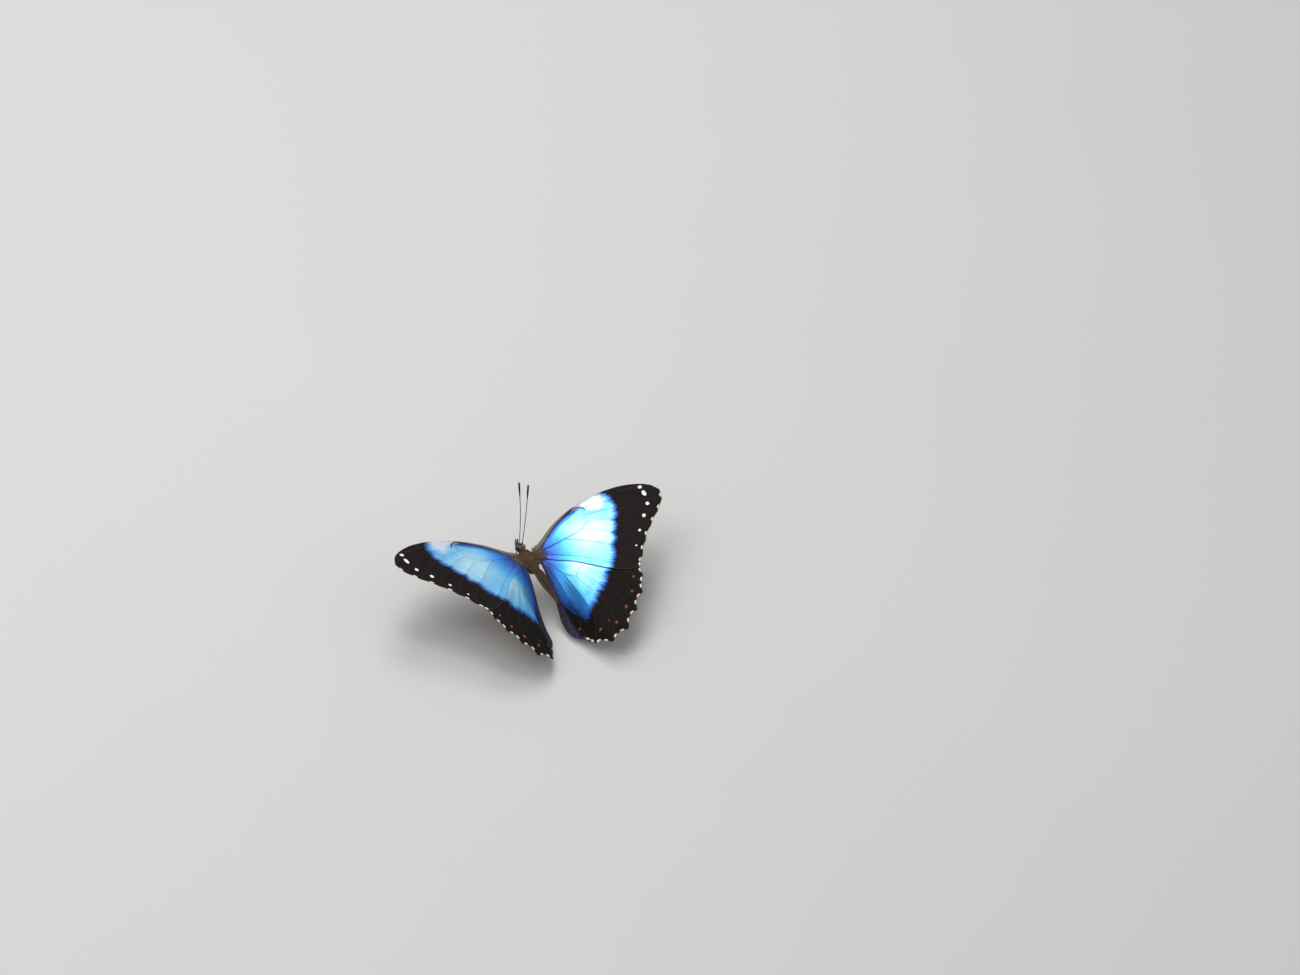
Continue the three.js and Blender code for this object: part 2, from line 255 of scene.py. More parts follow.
def turned_uv(corner_uv, faces):
    """The unwrap of these faces, corner by corner, once they are turned round."""
    parts = np.split(corner_uv, np.cumsum([g.size for g in faces])[:-1])
    return np.concatenate([q.reshape(*g.shape, 2)[:, ::-1].reshape(-1, 2) for q, g in zip(parts, faces)])


def mirrored(verts, faces, flip):
    """A shape of the left side, or its mirror image for the right."""
    return (verts, faces) if flip[0] > 0 else (verts * flip, turned(faces))


def points_out(verts, faces):
    """Whether the faces of a closed mesh point out of it."""
    volume = 0.0
    for g in faces:
        for k in range(1, g.shape[1] - 1):
            a, b, c = verts[g[:, 0]], verts[g[:, k]], verts[g[:, k + 1]]
            volume += np.einsum("ij,ij->", a, np.cross(b, c))
    return volume > 0


def facing_out(verts, faces):
    return faces if points_out(verts, faces) else turned(faces)


def keep(piece, replaced):
    """Tells the frame what a finished piece belongs to."""
    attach(piece, "root")
    if replaced:
        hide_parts(*replaced)


# ---------------------------------------------------------------- materials
class Nodes:
    """Short way to write a node material."""

    def __init__(self, name):
        self.material = bpy.data.materials.new(name)
        self.material.use_nodes = True
        self.tree = self.material.node_tree
        self.shader = self.tree.nodes["Principled BSDF"]

    def put(self, node, key, value):
        socket = node.inputs[key]
        if isinstance(value, bpy.types.NodeSocket):
            self.tree.links.new(value, socket)
        elif value is not None:
            socket.default_value = value

    def attribute(self, name, colour=False):
        n = self.tree.nodes.new("ShaderNodeAttribute")
        n.attribute_name = name
        return n.outputs["Color" if colour else "Fac"]

    def math(self, kind, a, b=None):
        n = self.tree.nodes.new("ShaderNodeMath")
        n.operation = kind
        self.put(n, 0, a)
        self.put(n, 1, b)
        return n.outputs[0]

    def plus(self, a, b):
        return self.math("ADD", a, b)

    def times(self, a, b):
        return self.math("MULTIPLY", a, b)

    def swing(self, value, size):
        """A pattern between 0 and 1, made to swing about zero."""
        return self.times(self.math("SUBTRACT", value, 0.5), size)

    def step(self, value, low, high, to_low=0.0, to_high=1.0):
        n = self.tree.nodes.new("ShaderNodeMapRange")
        n.interpolation_type = "SMOOTHSTEP"
        for i, v in enumerate((value, low, high, to_low, to_high)):
            self.put(n, i, v)
        return n.outputs[0]

    def mix(self, factor, a, b):
        n = self.tree.nodes.new("ShaderNodeMix")
        n.data_type = "RGBA"
        self.put(n, 0, factor)
        self.put(n, 6, a if isinstance(a, bpy.types.NodeSocket) else (*a, 1))
        self.put(n, 7, b if isinstance(b, bpy.types.NodeSocket) else (*b, 1))
        return n.outputs[2]

    def combine(self, x, y):
        n = self.tree.nodes.new("ShaderNodeCombineXYZ")
        self.put(n, 0, x)
        self.put(n, 1, y)
        return n.outputs[0]

    def noise(self, vector, scale, detail=3.0):
        n = self.tree.nodes.new("ShaderNodeTexNoise")
        for key, v in (("Vector", vector), ("Scale", scale), ("Detail", detail), ("Roughness", 0.55)):
            self.put(n, key, v)
        return n.outputs["Fac"]

    def cell_edges(self, vector, scale):
        n = self.tree.nodes.new("ShaderNodeTexVoronoi")
        n.feature = "DISTANCE_TO_EDGE"
        self.put(n, "Vector", vector)
        self.put(n, "Scale", scale)
        return n.outputs["Distance"]

    def place(self):
        return self.tree.nodes.new("ShaderNodeTexCoord").outputs["Object"]

    def ramp(self, value, stops):
        n = self.tree.nodes.new("ShaderNodeValToRGB")
        self.put(n, 0, value)
        bar = n.color_ramp.elements
        while len(bar) < len(stops):
            bar.new(0.5)
        for e, (at, col) in zip(bar, stops):
            e.position = at
            e.color = (*col, 1)
        return n.outputs[0]

    def bump(self, height, strength, distance):
        n = self.tree.nodes.new("ShaderNodeBump")
        self.put(n, "Height", height)
        self.put(n, "Strength", strength)
        self.put(n, "Distance", distance)
        return n.outputs[0]

    def finish(self, **sockets):
        for key, value in sockets.items():
            self.put(self.shader, key.replace("_", " "), value)
        return self.material


SCALE_ROWS = 5.2       # rows of scales in a millimetre


def scale_rows(m):
    """Rows of wing scales: fine overlapping ripples across the vein direction."""
    along_wing = m.times(m.attribute("reach"), SCALE_ROWS)
    weave = m.noise(m.combine(m.times(m.attribute("turn"), 60.0), along_wing), 3.0, 2.0)
    rows = m.math("SINE", m.plus(m.times(along_wing, 6.2832), m.times(weave, 5.0)))
    return m.plus(m.times(rows, 0.5), m.times(weave, 0.9))


def streaks(m, density, length, detail=2.0):
    """Noise drawn out along the veins."""
    fan = m.combine(m.times(m.attribute("turn"), density), m.times(m.attribute("reach"), length))
    return m.noise(fan, 1.0, detail)


# violet-blue at the root to pale cyan-white; the palest stops are partly painted highlight, reached where the
# painted pale spot lifts the blue's lightness
BLUES = [(0.0, (0.054, 0.062, 0.23)), (0.16, (0.046, 0.118, 0.45)), (0.34, (0.052, 0.27, 0.73)),
         (0.55, (0.100, 0.47, 0.84)), (0.78, (0.28, 0.66, 0.89)), (1.0, (0.50, 0.82, 0.94))]


def blue_depth(m):
    """How far inside the blue a point lies, with the blue's edge combed out along the veins."""
    comb = m.plus(m.times(streaks(m, 34.0, 0.16), 0.6), m.times(streaks(m, 96.0, 0.26), 0.4))
    frayed = m.plus(m.attribute("band"), m.swing(comb, m.attribute("fray")))
    return m.plus(frayed, m.swing(streaks(m, 190.0, 0.55), 1.3))


def blue_field(m, depth, mottle, hair):
    """Deep blue at the root and along the edge, pale in the middle; the pale middle is partly painted
    highlight.
    """
    tone = m.plus(m.attribute("tone"), m.swing(mottle, 0.26))
    tone = m.plus(tone, m.swing(hair, 0.12))
    return m.mix(m.step(depth, 0.2, 2.7), (0.030, 0.115, 0.44), m.ramp(tone, BLUES))


def black_border(m, vein):
    """Brownish black, a little paler on the veins and along the forewing's hind edge."""
    black = m.mix(m.noise(m.place(), 900.0), (0.0040, 0.0024, 0.0020), (0.0100, 0.0060, 0.0050))
    black = m.mix(m.times(m.step(vein, 0.30, 0.05), 0.7), black, (0.024, 0.015, 0.011))
    return m.mix(m.step(m.attribute("hem"), 0.36, 0.10, 0.0, 0.8), black, (0.075, 0.042, 0.032))


def front_marks(m, colour, vein):
    """White patch at the front edge and the dark bar at the end of the cell."""
    patch = m.step(m.plus(m.attribute("patch"), m.swing(streaks(m, 90.0, 0.3), 3.0)), -2.6, 2.3)
    colour = m.mix(m.times(patch, m.step(vein, 0.05, 0.30, 0.86, 1.0)), colour, (0.76, 0.85, 0.91))
    return m.mix(m.step(m.attribute("bar"), -0.34, 0.20, 0.0, 0.82), colour, (0.016, 0.022, 0.045))


def bare_parts(m, colour, mottle, hair):
    """Brownish front edge, hairy root and dark inner fold; also returns how much of each there is."""
    bare = m.step(m.plus(m.attribute("costal"), m.swing(mottle, 0.9)), 0.15, 0.95)
    colour = m.mix(bare, colour, m.mix(hair, (0.10, 0.082, 0.066), (0.27, 0.225, 0.185)))
    root = m.step(m.plus(m.attribute("rooty"), m.swing(mottle, 0.5)), 0.35, 0.85)
    colour = m.mix(root, colour, m.mix(hair, (0.085, 0.070, 0.058), (0.27, 0.22, 0.17)))
    fold = m.step(m.plus(m.attribute("anal"), m.swing(hair, 0.5)), 0.15, 0.85)
    dark = m.mix(m.step(hair, 0.35, 0.75), (0.010, 0.008, 0.014), (0.065, 0.070, 0.15))
    return m.mix(fold, colour, dark), bare, root, fold


def border_spots(m, colour):
    """Red, cream and white spots with powdery rims; also returns the white."""
    speck = m.swing(m.noise(m.place(), 1500.0, 2.0), 0.3)
    red = m.plus(m.attribute("red"), speck)
    colour = m.mix(m.step(red, -0.30, 0.20), colour, (0.060, 0.012, 0.008))
    colour = m.mix(m.step(red, 0.05, 0.75), colour, (0.36, 0.095, 0.050))
    colour = m.mix(m.step(m.plus(m.attribute("cream"), speck), -0.05, 0.30), colour, (0.86, 0.83, 0.70))
    white = m.step(m.plus(m.attribute("white"), speck), -0.10, 0.25)
    return m.mix(white, colour, (0.90, 0.90, 0.88)), white


def upper_material():
    m = Nodes("wing_upper")
    vein = m.attribute("vein")
    mottle, hair = streaks(m, 60.0, 0.20, 4.0), streaks(m, 240.0, 0.35, 3.0)
    depth = blue_depth(m)
    blue = m.step(depth, -0.85, 0.65)
    colour = m.mix(blue, black_border(m, vein), blue_field(m, depth, mottle, hair))
    # fine dark veins drawn through the blue
    line = m.times(m.times(m.step(vein, 0.20, 0.04), m.attribute("inked")), blue)
    colour = front_marks(m, m.mix(line, colour, (0.012, 0.03, 0.085)), vein)
    colour, bare, root, fold = bare_parts(m, colour, mottle, hair)
    colour, white = border_spots(m, colour)
    # only clean blue scales shine
    matt = m.math("MAXIMUM", m.math("MAXIMUM", root, bare), m.math("MAXIMUM", fold, white))
    shine = m.times(blue, m.math("SUBTRACT", 1.0, matt))
    shine = m.times(shine, m.math("SUBTRACT", 1.0, m.times(line, 0.7)))
    normal = m.bump(scale_rows(m), 0.4, 0.000010)
    return m.finish(Base_Color=colour, Metallic=m.times(shine, 0.72), Normal=normal,
                    Roughness=m.step(shine, 0.0, 1.0, 0.66, 0.42), Specular_IOR_Level=0.12)


UNDER_GROUND = [(0.25, (0.050, 0.026, 0.014)), (0.55, (0.115, 0.064, 0.034)), (0.8, (0.19, 0.115, 0.065))]
# from the wing's edge inward, over 8 mm
EDGE_LINES = [(0.0, (0.10, 0.06, 0.04)), (0.10, (0.42, 0.34, 0.24)), (0.17, (0.045, 0.024, 0.016)),
              (0.30, (0.30, 0.10, 0.045)), (0.42, (0.06, 0.03, 0.018)), (0.56, (0.48, 0.42, 0.36)),
              (0.66, (0.07, 0.038, 0.022)), (1.0, (0.10, 0.055, 0.03))]
# from an eyespot's middle outward, over 1.6 of its radius
EYESPOT = [(0.0, (0.75, 0.85, 0.95)), (0.085, (0.45, 0.55, 0.70)), (0.13, (0.012, 0.008, 0.008)),
           (0.36, (0.012, 0.008, 0.008)), (0.40, (0.35, 0.10, 0.03)), (0.455, (0.62, 0.42, 0.13)),
           (0.555, (0.60, 0.40, 0.13)), (0.60, (0.03, 0.016, 0.010)), (0.68, (0.045, 0.022, 0.012)),
           (0.74, (0.20, 0.14, 0.10))]


def under_material():
    m = Nodes("wing_under")
    weave, grain = streaks(m, 60.0, 0.35, 4.0), m.noise(m.place(), 700.0)
    ground = m.ramp(m.plus(m.times(weave, 0.7), m.times(grain, 0.3)), UNDER_GROUND)
    colour = m.mix(m.step(m.attribute("vein"), 0.45, 0.12), ground, (0.17, 0.12, 0.085))
    pale = m.step(m.plus(m.attribute("pale"), m.swing(weave, 1.6)), -0.2, 0.5)
    colour = m.mix(pale, colour, m.mix(grain, (0.34, 0.27, 0.19), (0.56, 0.49, 0.40)))
    edge = m.plus(m.attribute("edge"), m.swing(grain, 0.5))
    colour = m.mix(m.step(edge, 6.2, 5.2), colour, m.ramp(m.math("DIVIDE", edge, 8.0), EDGE_LINES))
    ring = m.attribute("ring")
    colour = m.mix(m.step(ring, 1.28, 1.12), colour, m.ramp(m.math("DIVIDE", ring, 1.6), EYESPOT))
    normal = m.bump(scale_rows(m), 0.4, 0.000014)
    return m.finish(Base_Color=colour, Roughness=m.step(grain, 0.2, 0.8, 0.50, 0.68), Normal=normal,
                    Sheen_Weight=0.12, Sheen_Roughness=0.4)


def coat_material(name, gloss):
    """Hair: takes its colour from the roots, with a strand-to-strand change."""
    m = Nodes(name)
    grain = m.noise(m.place(), 2600.0, 2.0)
    tint = m.attribute("tint", True)
    colour = m.mix(m.times(m.attribute("tip"), 0.35), tint, m.mix(0.5, tint, (0.50, 0.34, 0.18)))
    colour = m.mix(m.times(grain, 0.25), colour, (0.03, 0.018, 0.009))
    return m.finish(Base_Color=colour, Roughness=m.step(grain, 0.2, 0.8, gloss, gloss + 0.15),
                    Specular_IOR_Level=0.22, Sheen_Weight=0.05, Sheen_Roughness=0.4,
                    Sheen_Tint=(0.7, 0.5, 0.3, 1))


def skin_material():
    m = Nodes("body_skin")
    grain = m.noise(m.place(), 1800.0, 4.0)
    lie = m.noise(m.combine(m.times(m.attribute("round"), 90.0), m.times(m.attribute("far"), 1.2)), 1.0)
    tint = m.attribute("tint", True)
    colour = m.mix(m.times(lie, 0.7), tint, m.mix(0.6, tint, (0.010, 0.007, 0.005)))
    normal = m.bump(m.plus(lie, m.times(grain, 0.6)), 0.7, 0.00012)
    return m.finish(Base_Color=colour, Roughness=m.step(grain, 0.3, 0.7, 0.62, 0.85), Normal=normal,
                    Specular_IOR_Level=0.2)


def limb_material():
    m = Nodes("limb_horn")
    grain = m.noise(m.place(), 2200.0, 4.0)
    tint = m.attribute("tint", True)
    colour = m.mix(m.times(grain, 0.5), tint, (0.012, 0.007, 0.004))
    normal = m.bump(grain, 0.5, 0.00005)
    return m.finish(Base_Color=colour, Roughness=m.step(grain, 0.3, 0.7, 0.40, 0.58), Normal=normal,
                    Specular_IOR_Level=0.3)


# from the pale rim at the face to the dark dome
EYE_SHADES = [(0.0, (0.36, 0.29, 0.17)), (0.10, (0.42, 0.35, 0.22)), (0.17, (0.040, 0.016, 0.010)),
              (0.5, (0.018, 0.007, 0.005)), (0.8, (0.009, 0.004, 0.004)), (1.0, (0.006, 0.003, 0.003))]


def eye_material():
    m = Nodes("compound_eye")
    facets = m.cell_edges(m.place(), 9500.0)
    blotch = m.noise(m.place(), 1100.0, 3.0)
    colour = m.ramp(m.plus(m.attribute("far"), m.swing(blotch, 0.12)), EYE_SHADES)
    colour = m.mix(m.step(facets, 0.07, 0.01, 0.0, 0.35), colour, (0.055, 0.030, 0.020))
    normal = m.bump(m.step(facets, 0.0, 0.25), 0.3, 0.00001)
    return m.finish(Base_Color=colour, Roughness=m.step(blotch, 0.3, 0.7, 0.14, 0.26), Normal=normal,
                    Specular_IOR_Level=0.35, Coat_Weight=0.15, Coat_Roughness=0.10)


UPPER, UNDER = upper_material(), under_material()
COAT, FINE_COAT = coat_material("long_hair", 0.50), coat_material("short_hair", 0.6)
SKIN, LIMB, EYE = skin_material(), limb_material(), eye_material()

# ---------------------------------------------------------------- wings
FORE = {
    "root": [[-0.004, 0.030], [-0.006, -0.030]],
    "front": [[-0.004, 0.030], [0.105, 0.092], [0.210, 0.150], [0.323, 0.195], [0.436, 0.223],
              [0.548, 0.237], [0.661, 0.239], [0.774, 0.224], [0.879, 0.190], [0.960, 0.138], [1.000, 0.070]],
    "outer": [[1.000, 0.070], [0.978, 0.002], [0.916, -0.066], [0.836, -0.132], [0.750, -0.204],
              [0.676, -0.280], [0.612, -0.356], [0.544, -0.440]],
    "inner": [[-0.006, -0.030], [0.082, -0.106], [0.195, -0.190], [0.279, -0.272], [0.360, -0.350],
              [0.452, -0.414], [0.544, -0.440]],
    # where the veins meet the outer edge, as shares of its length, and how deep the bays between them are
    "ends": [0.0, 0.143, 0.293, 0.478, 0.672, 0.845, 1.0],
    "bays": [0.15, 0.35, 0.45, 0.5, 0.5, 0.4],
    "grid": (230, 186),
}
HIND = {
    "root": [[0.000, 0.012], [-0.004, -0.075]],
    "front": [[0.000, 0.012], [0.110, 0.040], [0.260, -0.005], [0.410, -0.110], [0.520, -0.250],
              [0.555, -0.385]],
    "outer": [[0.555, -0.385], [0.547, -0.445], [0.516, -0.523], [0.456, -0.606], [0.377, -0.674],
              [0.290, -0.738], [0.205, -0.770], [0.125, -0.762], [0.062, -0.703], [0.018, -0.622]],
    "inner": [[-0.004, -0.075], [-0.014, -0.190], [-0.026, -0.310], [-0.048, -0.430],
              [-0.042, -0.540], [0.018, -0.622]],
    "ends": [0.0, 0.145, 0.286, 0.432, 0.598, 0.763, 0.9, 1.0],
    "bays": [0.75, 0.85, 1.6, 1.9, 2.0, 1.7, 0.85],
    "grid": (180, 230),
}
FORE_VEINS = {
    "subcosta": [[0.02, 0.03], [0.2, 0.135], [0.4, 0.205], [0.57, 0.236]],
    "radius_1": [[0.30, 0.165], [0.5, 0.212], [0.68, 0.236]],
    "radius_2": [[0.36, 0.177], [0.58, 0.212], [0.80, 0.216]],
    "radius_3": [[0.435, 0.183], [0.62, 0.195], [0.80, 0.180], [0.93, 0.160]],
    "radius_4": [[0.72, 0.190], [0.88, 0.158], [0.975, 0.118]],
    "cell_top": [[0.0, 0.015], [0.1, 0.065], [0.2, 0.12], [0.3, 0.165], [0.435, 0.183]],
    "cell_base": [[0.0, 0.0], [0.1, 0.0], [0.225, 0.008], [0.365, 0.025], [0.435, 0.065]],
    "cell_end": [[0.435, 0.183], [0.458, 0.155], [0.452, 0.115], [0.435, 0.065]],
}
FORE_MAIN = [  # from the cell to the outer edge, one for each end
    [[0.76, 0.182], [0.90, 0.132]], [[0.435, 0.183], [0.62, 0.150], [0.82, 0.062]],
    [[0.452, 0.115], [0.62, 0.078], [0.78, -0.010]], [[0.435, 0.065], [0.55, 0.018], [0.68, -0.090]],
    [[0.365, 0.025], [0.455, -0.040], [0.60, -0.165]], [[0.225, 0.004], [0.325, -0.065], [0.50, -0.225]],
    [[0.0, -0.012], [0.10, -0.072], [0.235, -0.170], [0.41, -0.335]],
]
HIND_VEINS = {
    "humeral": [[0.03, 0.01], [0.075, 0.028]],
    "cell_top": [[0.0, -0.02], [0.08, -0.035], [0.16, -0.085], [0.205, -0.16]],
    "cell_base": [[0.0, -0.04], [0.05, -0.12], [0.09, -0.21], [0.145, -0.275]],
    "cell_end": [[0.205, -0.16], [0.20, -0.21], [0.175, -0.25], [0.145, -0.275]],
    "third": [[0.0, -0.07], [0.004, -0.20], [-0.006, -0.38], [-0.02, -0.52]],
}
HIND_MAIN = [
    [[0.0, -0.005], [0.12, 0.005], [0.30, -0.055], [0.46, -0.20]],
    [[0.12, -0.06], [0.28, -0.15], [0.44, -0.30]],
    [[0.205, -0.16], [0.35, -0.28], [0.46, -0.42]], [[0.20, -0.21], [0.32, -0.37], [0.40, -0.50]],
    [[0.175, -0.25], [0.27, -0.44], [0.325, -0.58]], [[0.145, -0.275], [0.20, -0.46], [0.235, -0.61]],
    [[0.09, -0.21], [0.115, -0.40], [0.115, -0.56]], [[0.0, -0.06], [0.045, -0.27], [0.050, -0.45]],
]


ARCH, ARCH_SKEW = 0.4, 0.8          # rise of the forewing's surface, and where along the wing it is highest
DROOP = 3.0                         # fall toward its front and hind edges
HIND_TILT, TILT_EASE = 0.36, 6.0    # the hindwing falls away behind the forewing's hind edge
FOLD_DEPTH = 7.5                    # its inner edge folds down beside the abdomen


def fore_height(s, t):
    span = np.clip(s / LENGTH, 0, 1)
    return ARCH * np.sin(np.pi * span**ARCH_SKEW) - DROOP * (t / LENGTH) ** 2


def hind_height(s, t):
    corner = np.array(FORE["outer"][-1])
    behind = np.maximum((s * corner[1] - t * corner[0]) / np.hypot(*corner), 0)
    fall = HIND_TILT * (np.hypot(behind, TILT_EASE) - TILT_EASE)
    fold = smooth(1 - (s + 0.8) / 10.0) * smooth((-t - 5) / 24) * (1 - 0.3 * smooth((-t - 28) / 12))
    return fore_height(s, t) - CAD_SHEET - UNDER_GAP - fall - FOLD_DEPTH * fold


class Wing:
    """One wing's outline, veins and surface, for the left side."""

    def __init__(self, name, shape, veins, main, height, lift):
        self.name, self.is_fore = name, name == "forewing"
        self.shape, self.height, self.lift = shape, height, lift
        self.curves = {k: spline(np.array(shape[k]) * LENGTH) for k in ("root", "front", "outer", "inner")}
        self.ends = np.array(shape["ends"])
        tips = [self.patch(np.array([1.0]), np.array([e]))[0] / LENGTH for e in self.ends]
        self.veins = [spline(np.array(v) * LENGTH, 40) for v in veins.values()]
        self.veins += [spline(np.array(v + [list(tip)]) * LENGTH, 50) for v, tip in zip(main, tips)]

    def bays(self, v):
        """Place within its bay of a share v of the outer edge, and the bay's number."""
        k = np.clip(np.searchsorted(self.ends, v, side="right") - 1, 0, len(self.ends) - 2)
        return (v - self.ends[k]) / (self.ends[k + 1] - self.ends[k]), k

    def patch(self, u, v):
        """Wing-plane point at a share u from root to outer edge and v from front to inner edge."""
        c = self.curves
        u, v = np.broadcast_arrays(u, v)
        uu, vv = u[..., None], v[..., None]
        p = (along(c["front"], u) * (1 - vv) + along(c["inner"], u) * vv
             + along(c["root"], v) * (1 - uu) + along(c["outer"], v) * uu)
        p = p - (c["front"][0] * (1 - uu) * (1 - vv) + c["inner"][0] * (1 - uu) * vv
                 + c["outer"][0] * uu * (1 - vv) + c["outer"][-1] * uu * vv)
        x, k = self.bays(v)
        depth = np.array(self.shape["bays"])[k] * smooth((u - 0.8) / 0.2)
        bay = depth * np.sin(np.pi * np.clip(x, 0, 1)) ** 1.15
        size = np.linalg.norm(p, axis=-1)
        return p * (np.maximum(size - bay, 0.01) / np.maximum(size, 1e-6))[..., None]

    def space(self, s, t, rise):
        """Wing-plane point to model millimetres; rise is above the wing's own surface."""
        h = self.height(s, t) + self.lift + rise
        out = ROOT_SIDE + s * math.cos(WING_RAISE) - h * math.sin(WING_RAISE)
        return body_point(out, t, s * math.sin(WING_RAISE) + h * math.cos(WING_RAISE))


# The visible sheets are thinner than the CAD ones.
# The forewing lies at the bottom of its own, the hindwing at the top.
fore = Wing("forewing", FORE, FORE_VEINS, FORE_MAIN, fore_height, MEMBRANE / 2 - CAD_SHEET)
hind = Wing("hindwing", HIND, HIND_VEINS, HIND_MAIN, hind_height, -MEMBRANE / 2)

FORE_BLUE = [[3.5, 1.0], [8, 4.4], [14, 8.0], [20, 10.6], [26, 12.2], [33, 13.9], [39, 14.2], [41.8, 12.4],
             [42.0, 8.2], [41.4, 4.6], [40.4, 2.0], [38.0, -0.6], [36.4, -3.8], [34.2, -6.4], [32.6, -9.8],
             [30.2, -12.4], [28.6, -15.8], [26.4, -19.0], [23.8, -22.4], [21, -28], [12, -23], [4, -13],
             [0, -5]]
HIND_BLUE = [[1, 6], [12, 9], [25, 4], [35, -6], [33.5, -14], [27, -19.5], [21.6, -22.6], [20.0, -24.6],
             [17.5, -26.6], [15.0, -27.9], [12.8, -28.8], [11.8, -30.4], [9.0, -31.2], [6.2, -33.3],
             [4.6, -32.8], [3.6, -29], [2.6, -25.2], [1.2, -22.4], [0.0, -20], [-1.0, -16], [-1.0, -8]]
# [out, forward, half length, half width, turn in degrees]
FORE_WHITE = [[55.7, 9.1, 1.0, 0.82, 20], [55.5, 5.5, 1.6, 0.92, 80], [53.8, 0.0, 0.92, 0.84, 60],
              [49.15, -4.9, 0.98, 0.80, 60], [43.5, -10.8, 0.72, 0.62, 50], [38.1, -17.0, 0.48, 0.42, 0]]
HIND_RED = [[31.4, -24.6, 0.52, 0.44, 60], [29.1, -29.7, 0.72, 0.60, 60], [25.5, -34.6, 0.74, 0.62, 50],
            [20.3, -38.7, 1.00, 0.68, 35], [13.7, -42.0, 0.82, 0.62, 35], [11.5, -39.7, 0.46, 0.36, 60],
            [6.9, -40.6, 0.78, 0.6, 20], [1.3, -33.4, 0.7, 0.45, -60]]
FORE_PATCH = [[26.2, 13.2], [30, 14.2], [34, 15.2], [37.0, 15.2], [38.4, 13.2], [38.2, 10.9], [36.4, 8.8],
              [34.2, 8.2], [32.0, 9.5], [30.4, 11.0], [28.6, 12.2]]
CELL_BAR = [[25.2, 13.2], [26.9, 12.6], [28.3, 11.8], [29.2, 10.9], [29.6, 9.9]]
NO_SPOT = [[0, 90, 1, 1, 0]]
# [out, forward, radius]
FORE_EYESPOTS = [[49.6, -1.8, 1.75], [44.2, -7.4, 2.1], [37.6, -14.6, 3.0]]
HIND_EYESPOTS = [[24.5, -17.5, 4.2], [21.8, -31.0, 2.5], [17.6, -35.2, 2.9], [9.2, -37.0, 2.8]]
# pale bands of the underside: half width and course
FORE_PALE = [(0.9, [[14, 6.5], [15.5, 3.5], [14.8, 1.2]]), (0.8, [[21.5, 10.2], [22.6, 6.2], [21.4, 2.0]]),
             (1.0, [[30, 13.2], [33.0, 8.0], [33.5, 1.5], [29.5, -6.0], [23.5, -14.5]]),
             (0.6, [[46, 12.6], [47.6, 6.4], [46.4, -1.0], [40.6, -8.0], [32.0, -17.0]])]
HIND_PALE = [(0.9, [[17, -0.5], [15.0, -6.0], [9.5, -11.5], [3.0, -14.0]]),
             (1.1, [[29, -12], [23.0, -22.5], [15.5, -27.0], [7.0, -27.5], [1.0, -24.0]])]


def outline(points):
    ring = np.array(points, float)
    return spline(np.vstack([ring, ring[:1]]), 160)[:-1]


def spot_field(points, spots):
    """1 at a spot's middle, 0 at its rim, negative outside: the nearest of all spots."""
    best = np.full(len(points), -3.0)
    for s, t, a, b, turn in spots:
        r = math.radians(turn)
        d = points - np.array([s, t])
        x = (d[:, 0] * math.cos(r) + d[:, 1] * math.sin(r)) / a
        y = (-d[:, 0] * math.sin(r) + d[:, 1] * math.cos(r)) / b
        best = np.maximum(best, 1 - np.hypot(x, y))
    return best


def edge_dashes(wing, long, deep):
    """Pale dashes on the edge, one or two in each bay between two vein ends."""
    marks = []
    for k, (a, b) in enumerate(zip(wing.ends[:-1], wing.ends[1:])):
        if wing.is_fore:
            places = (0.42, 0.80) if k == 5 else (0.5,)
        else:
            places = (0.26, 0.70)
        for x in places:
            v = a + (b - a) * x
            here = wing.patch(np.array([1.0, 1.0]), np.array([v - 0.01, min(v + 0.01, 1.0)]))
            way = here[1] - here[0]
            middle = here.mean(axis=0)
            inward = -middle / np.linalg.norm(middle)
            turn = math.degrees(math.atan2(way[1], way[0]))
            marks.append([*(middle + inward * deep * 0.55), long, deep, turn])
    return marks


def nearest(p, curves):
    return np.minimum.reduce([line_distance(p, c) for c in curves])


def pale_bands(p, bands):
    """Positive inside the nearest pale band of the underside."""
    return np.maximum.reduce([half - line_distance(p, spline(course, 20 if len(course) < 4 else 40))
                              for half, course in bands])


def fore_fields(p, far, front, wave):
    s, t = p[:, 0], p[:, 1]
    # painted highlight: a pale spot painted in the middle of the forewing's blue, raising the blue's
    # lightness there
    painted_highlight = np.exp(-(((s - 25) / 11) ** 2 + ((t + 2) / 9) ** 2))
    bare_width = 2.7 - front - 0.060 * np.maximum(far - 5, 0)
    return {
        "tone": 0.04 + 0.60 * smooth((far - 2) / 20) + 0.36 * painted_highlight + 0.06 * wave - 0.06 * smooth((t - 4) / 6),
        "costal": 1.5 * smooth(bare_width / 1.5) * smooth((30 - far) / 3) - 0.4,
        "patch": inside_distance(p, outline(FORE_PATCH)),
        "bar": 0.30 - line_distance(p, spline(CELL_BAR, 40)),
        "anal": np.full(len(p), -1.0),
        "pale": pale_bands(p, FORE_PALE),
        "hem": line_distance(p, fore.curves["inner"]),
        "white": spot_field(p, FORE_WHITE),
        "red": spot_field(p, NO_SPOT),
        "cream": spot_field(p, edge_dashes(fore, 1.1, 0.40)),
    }


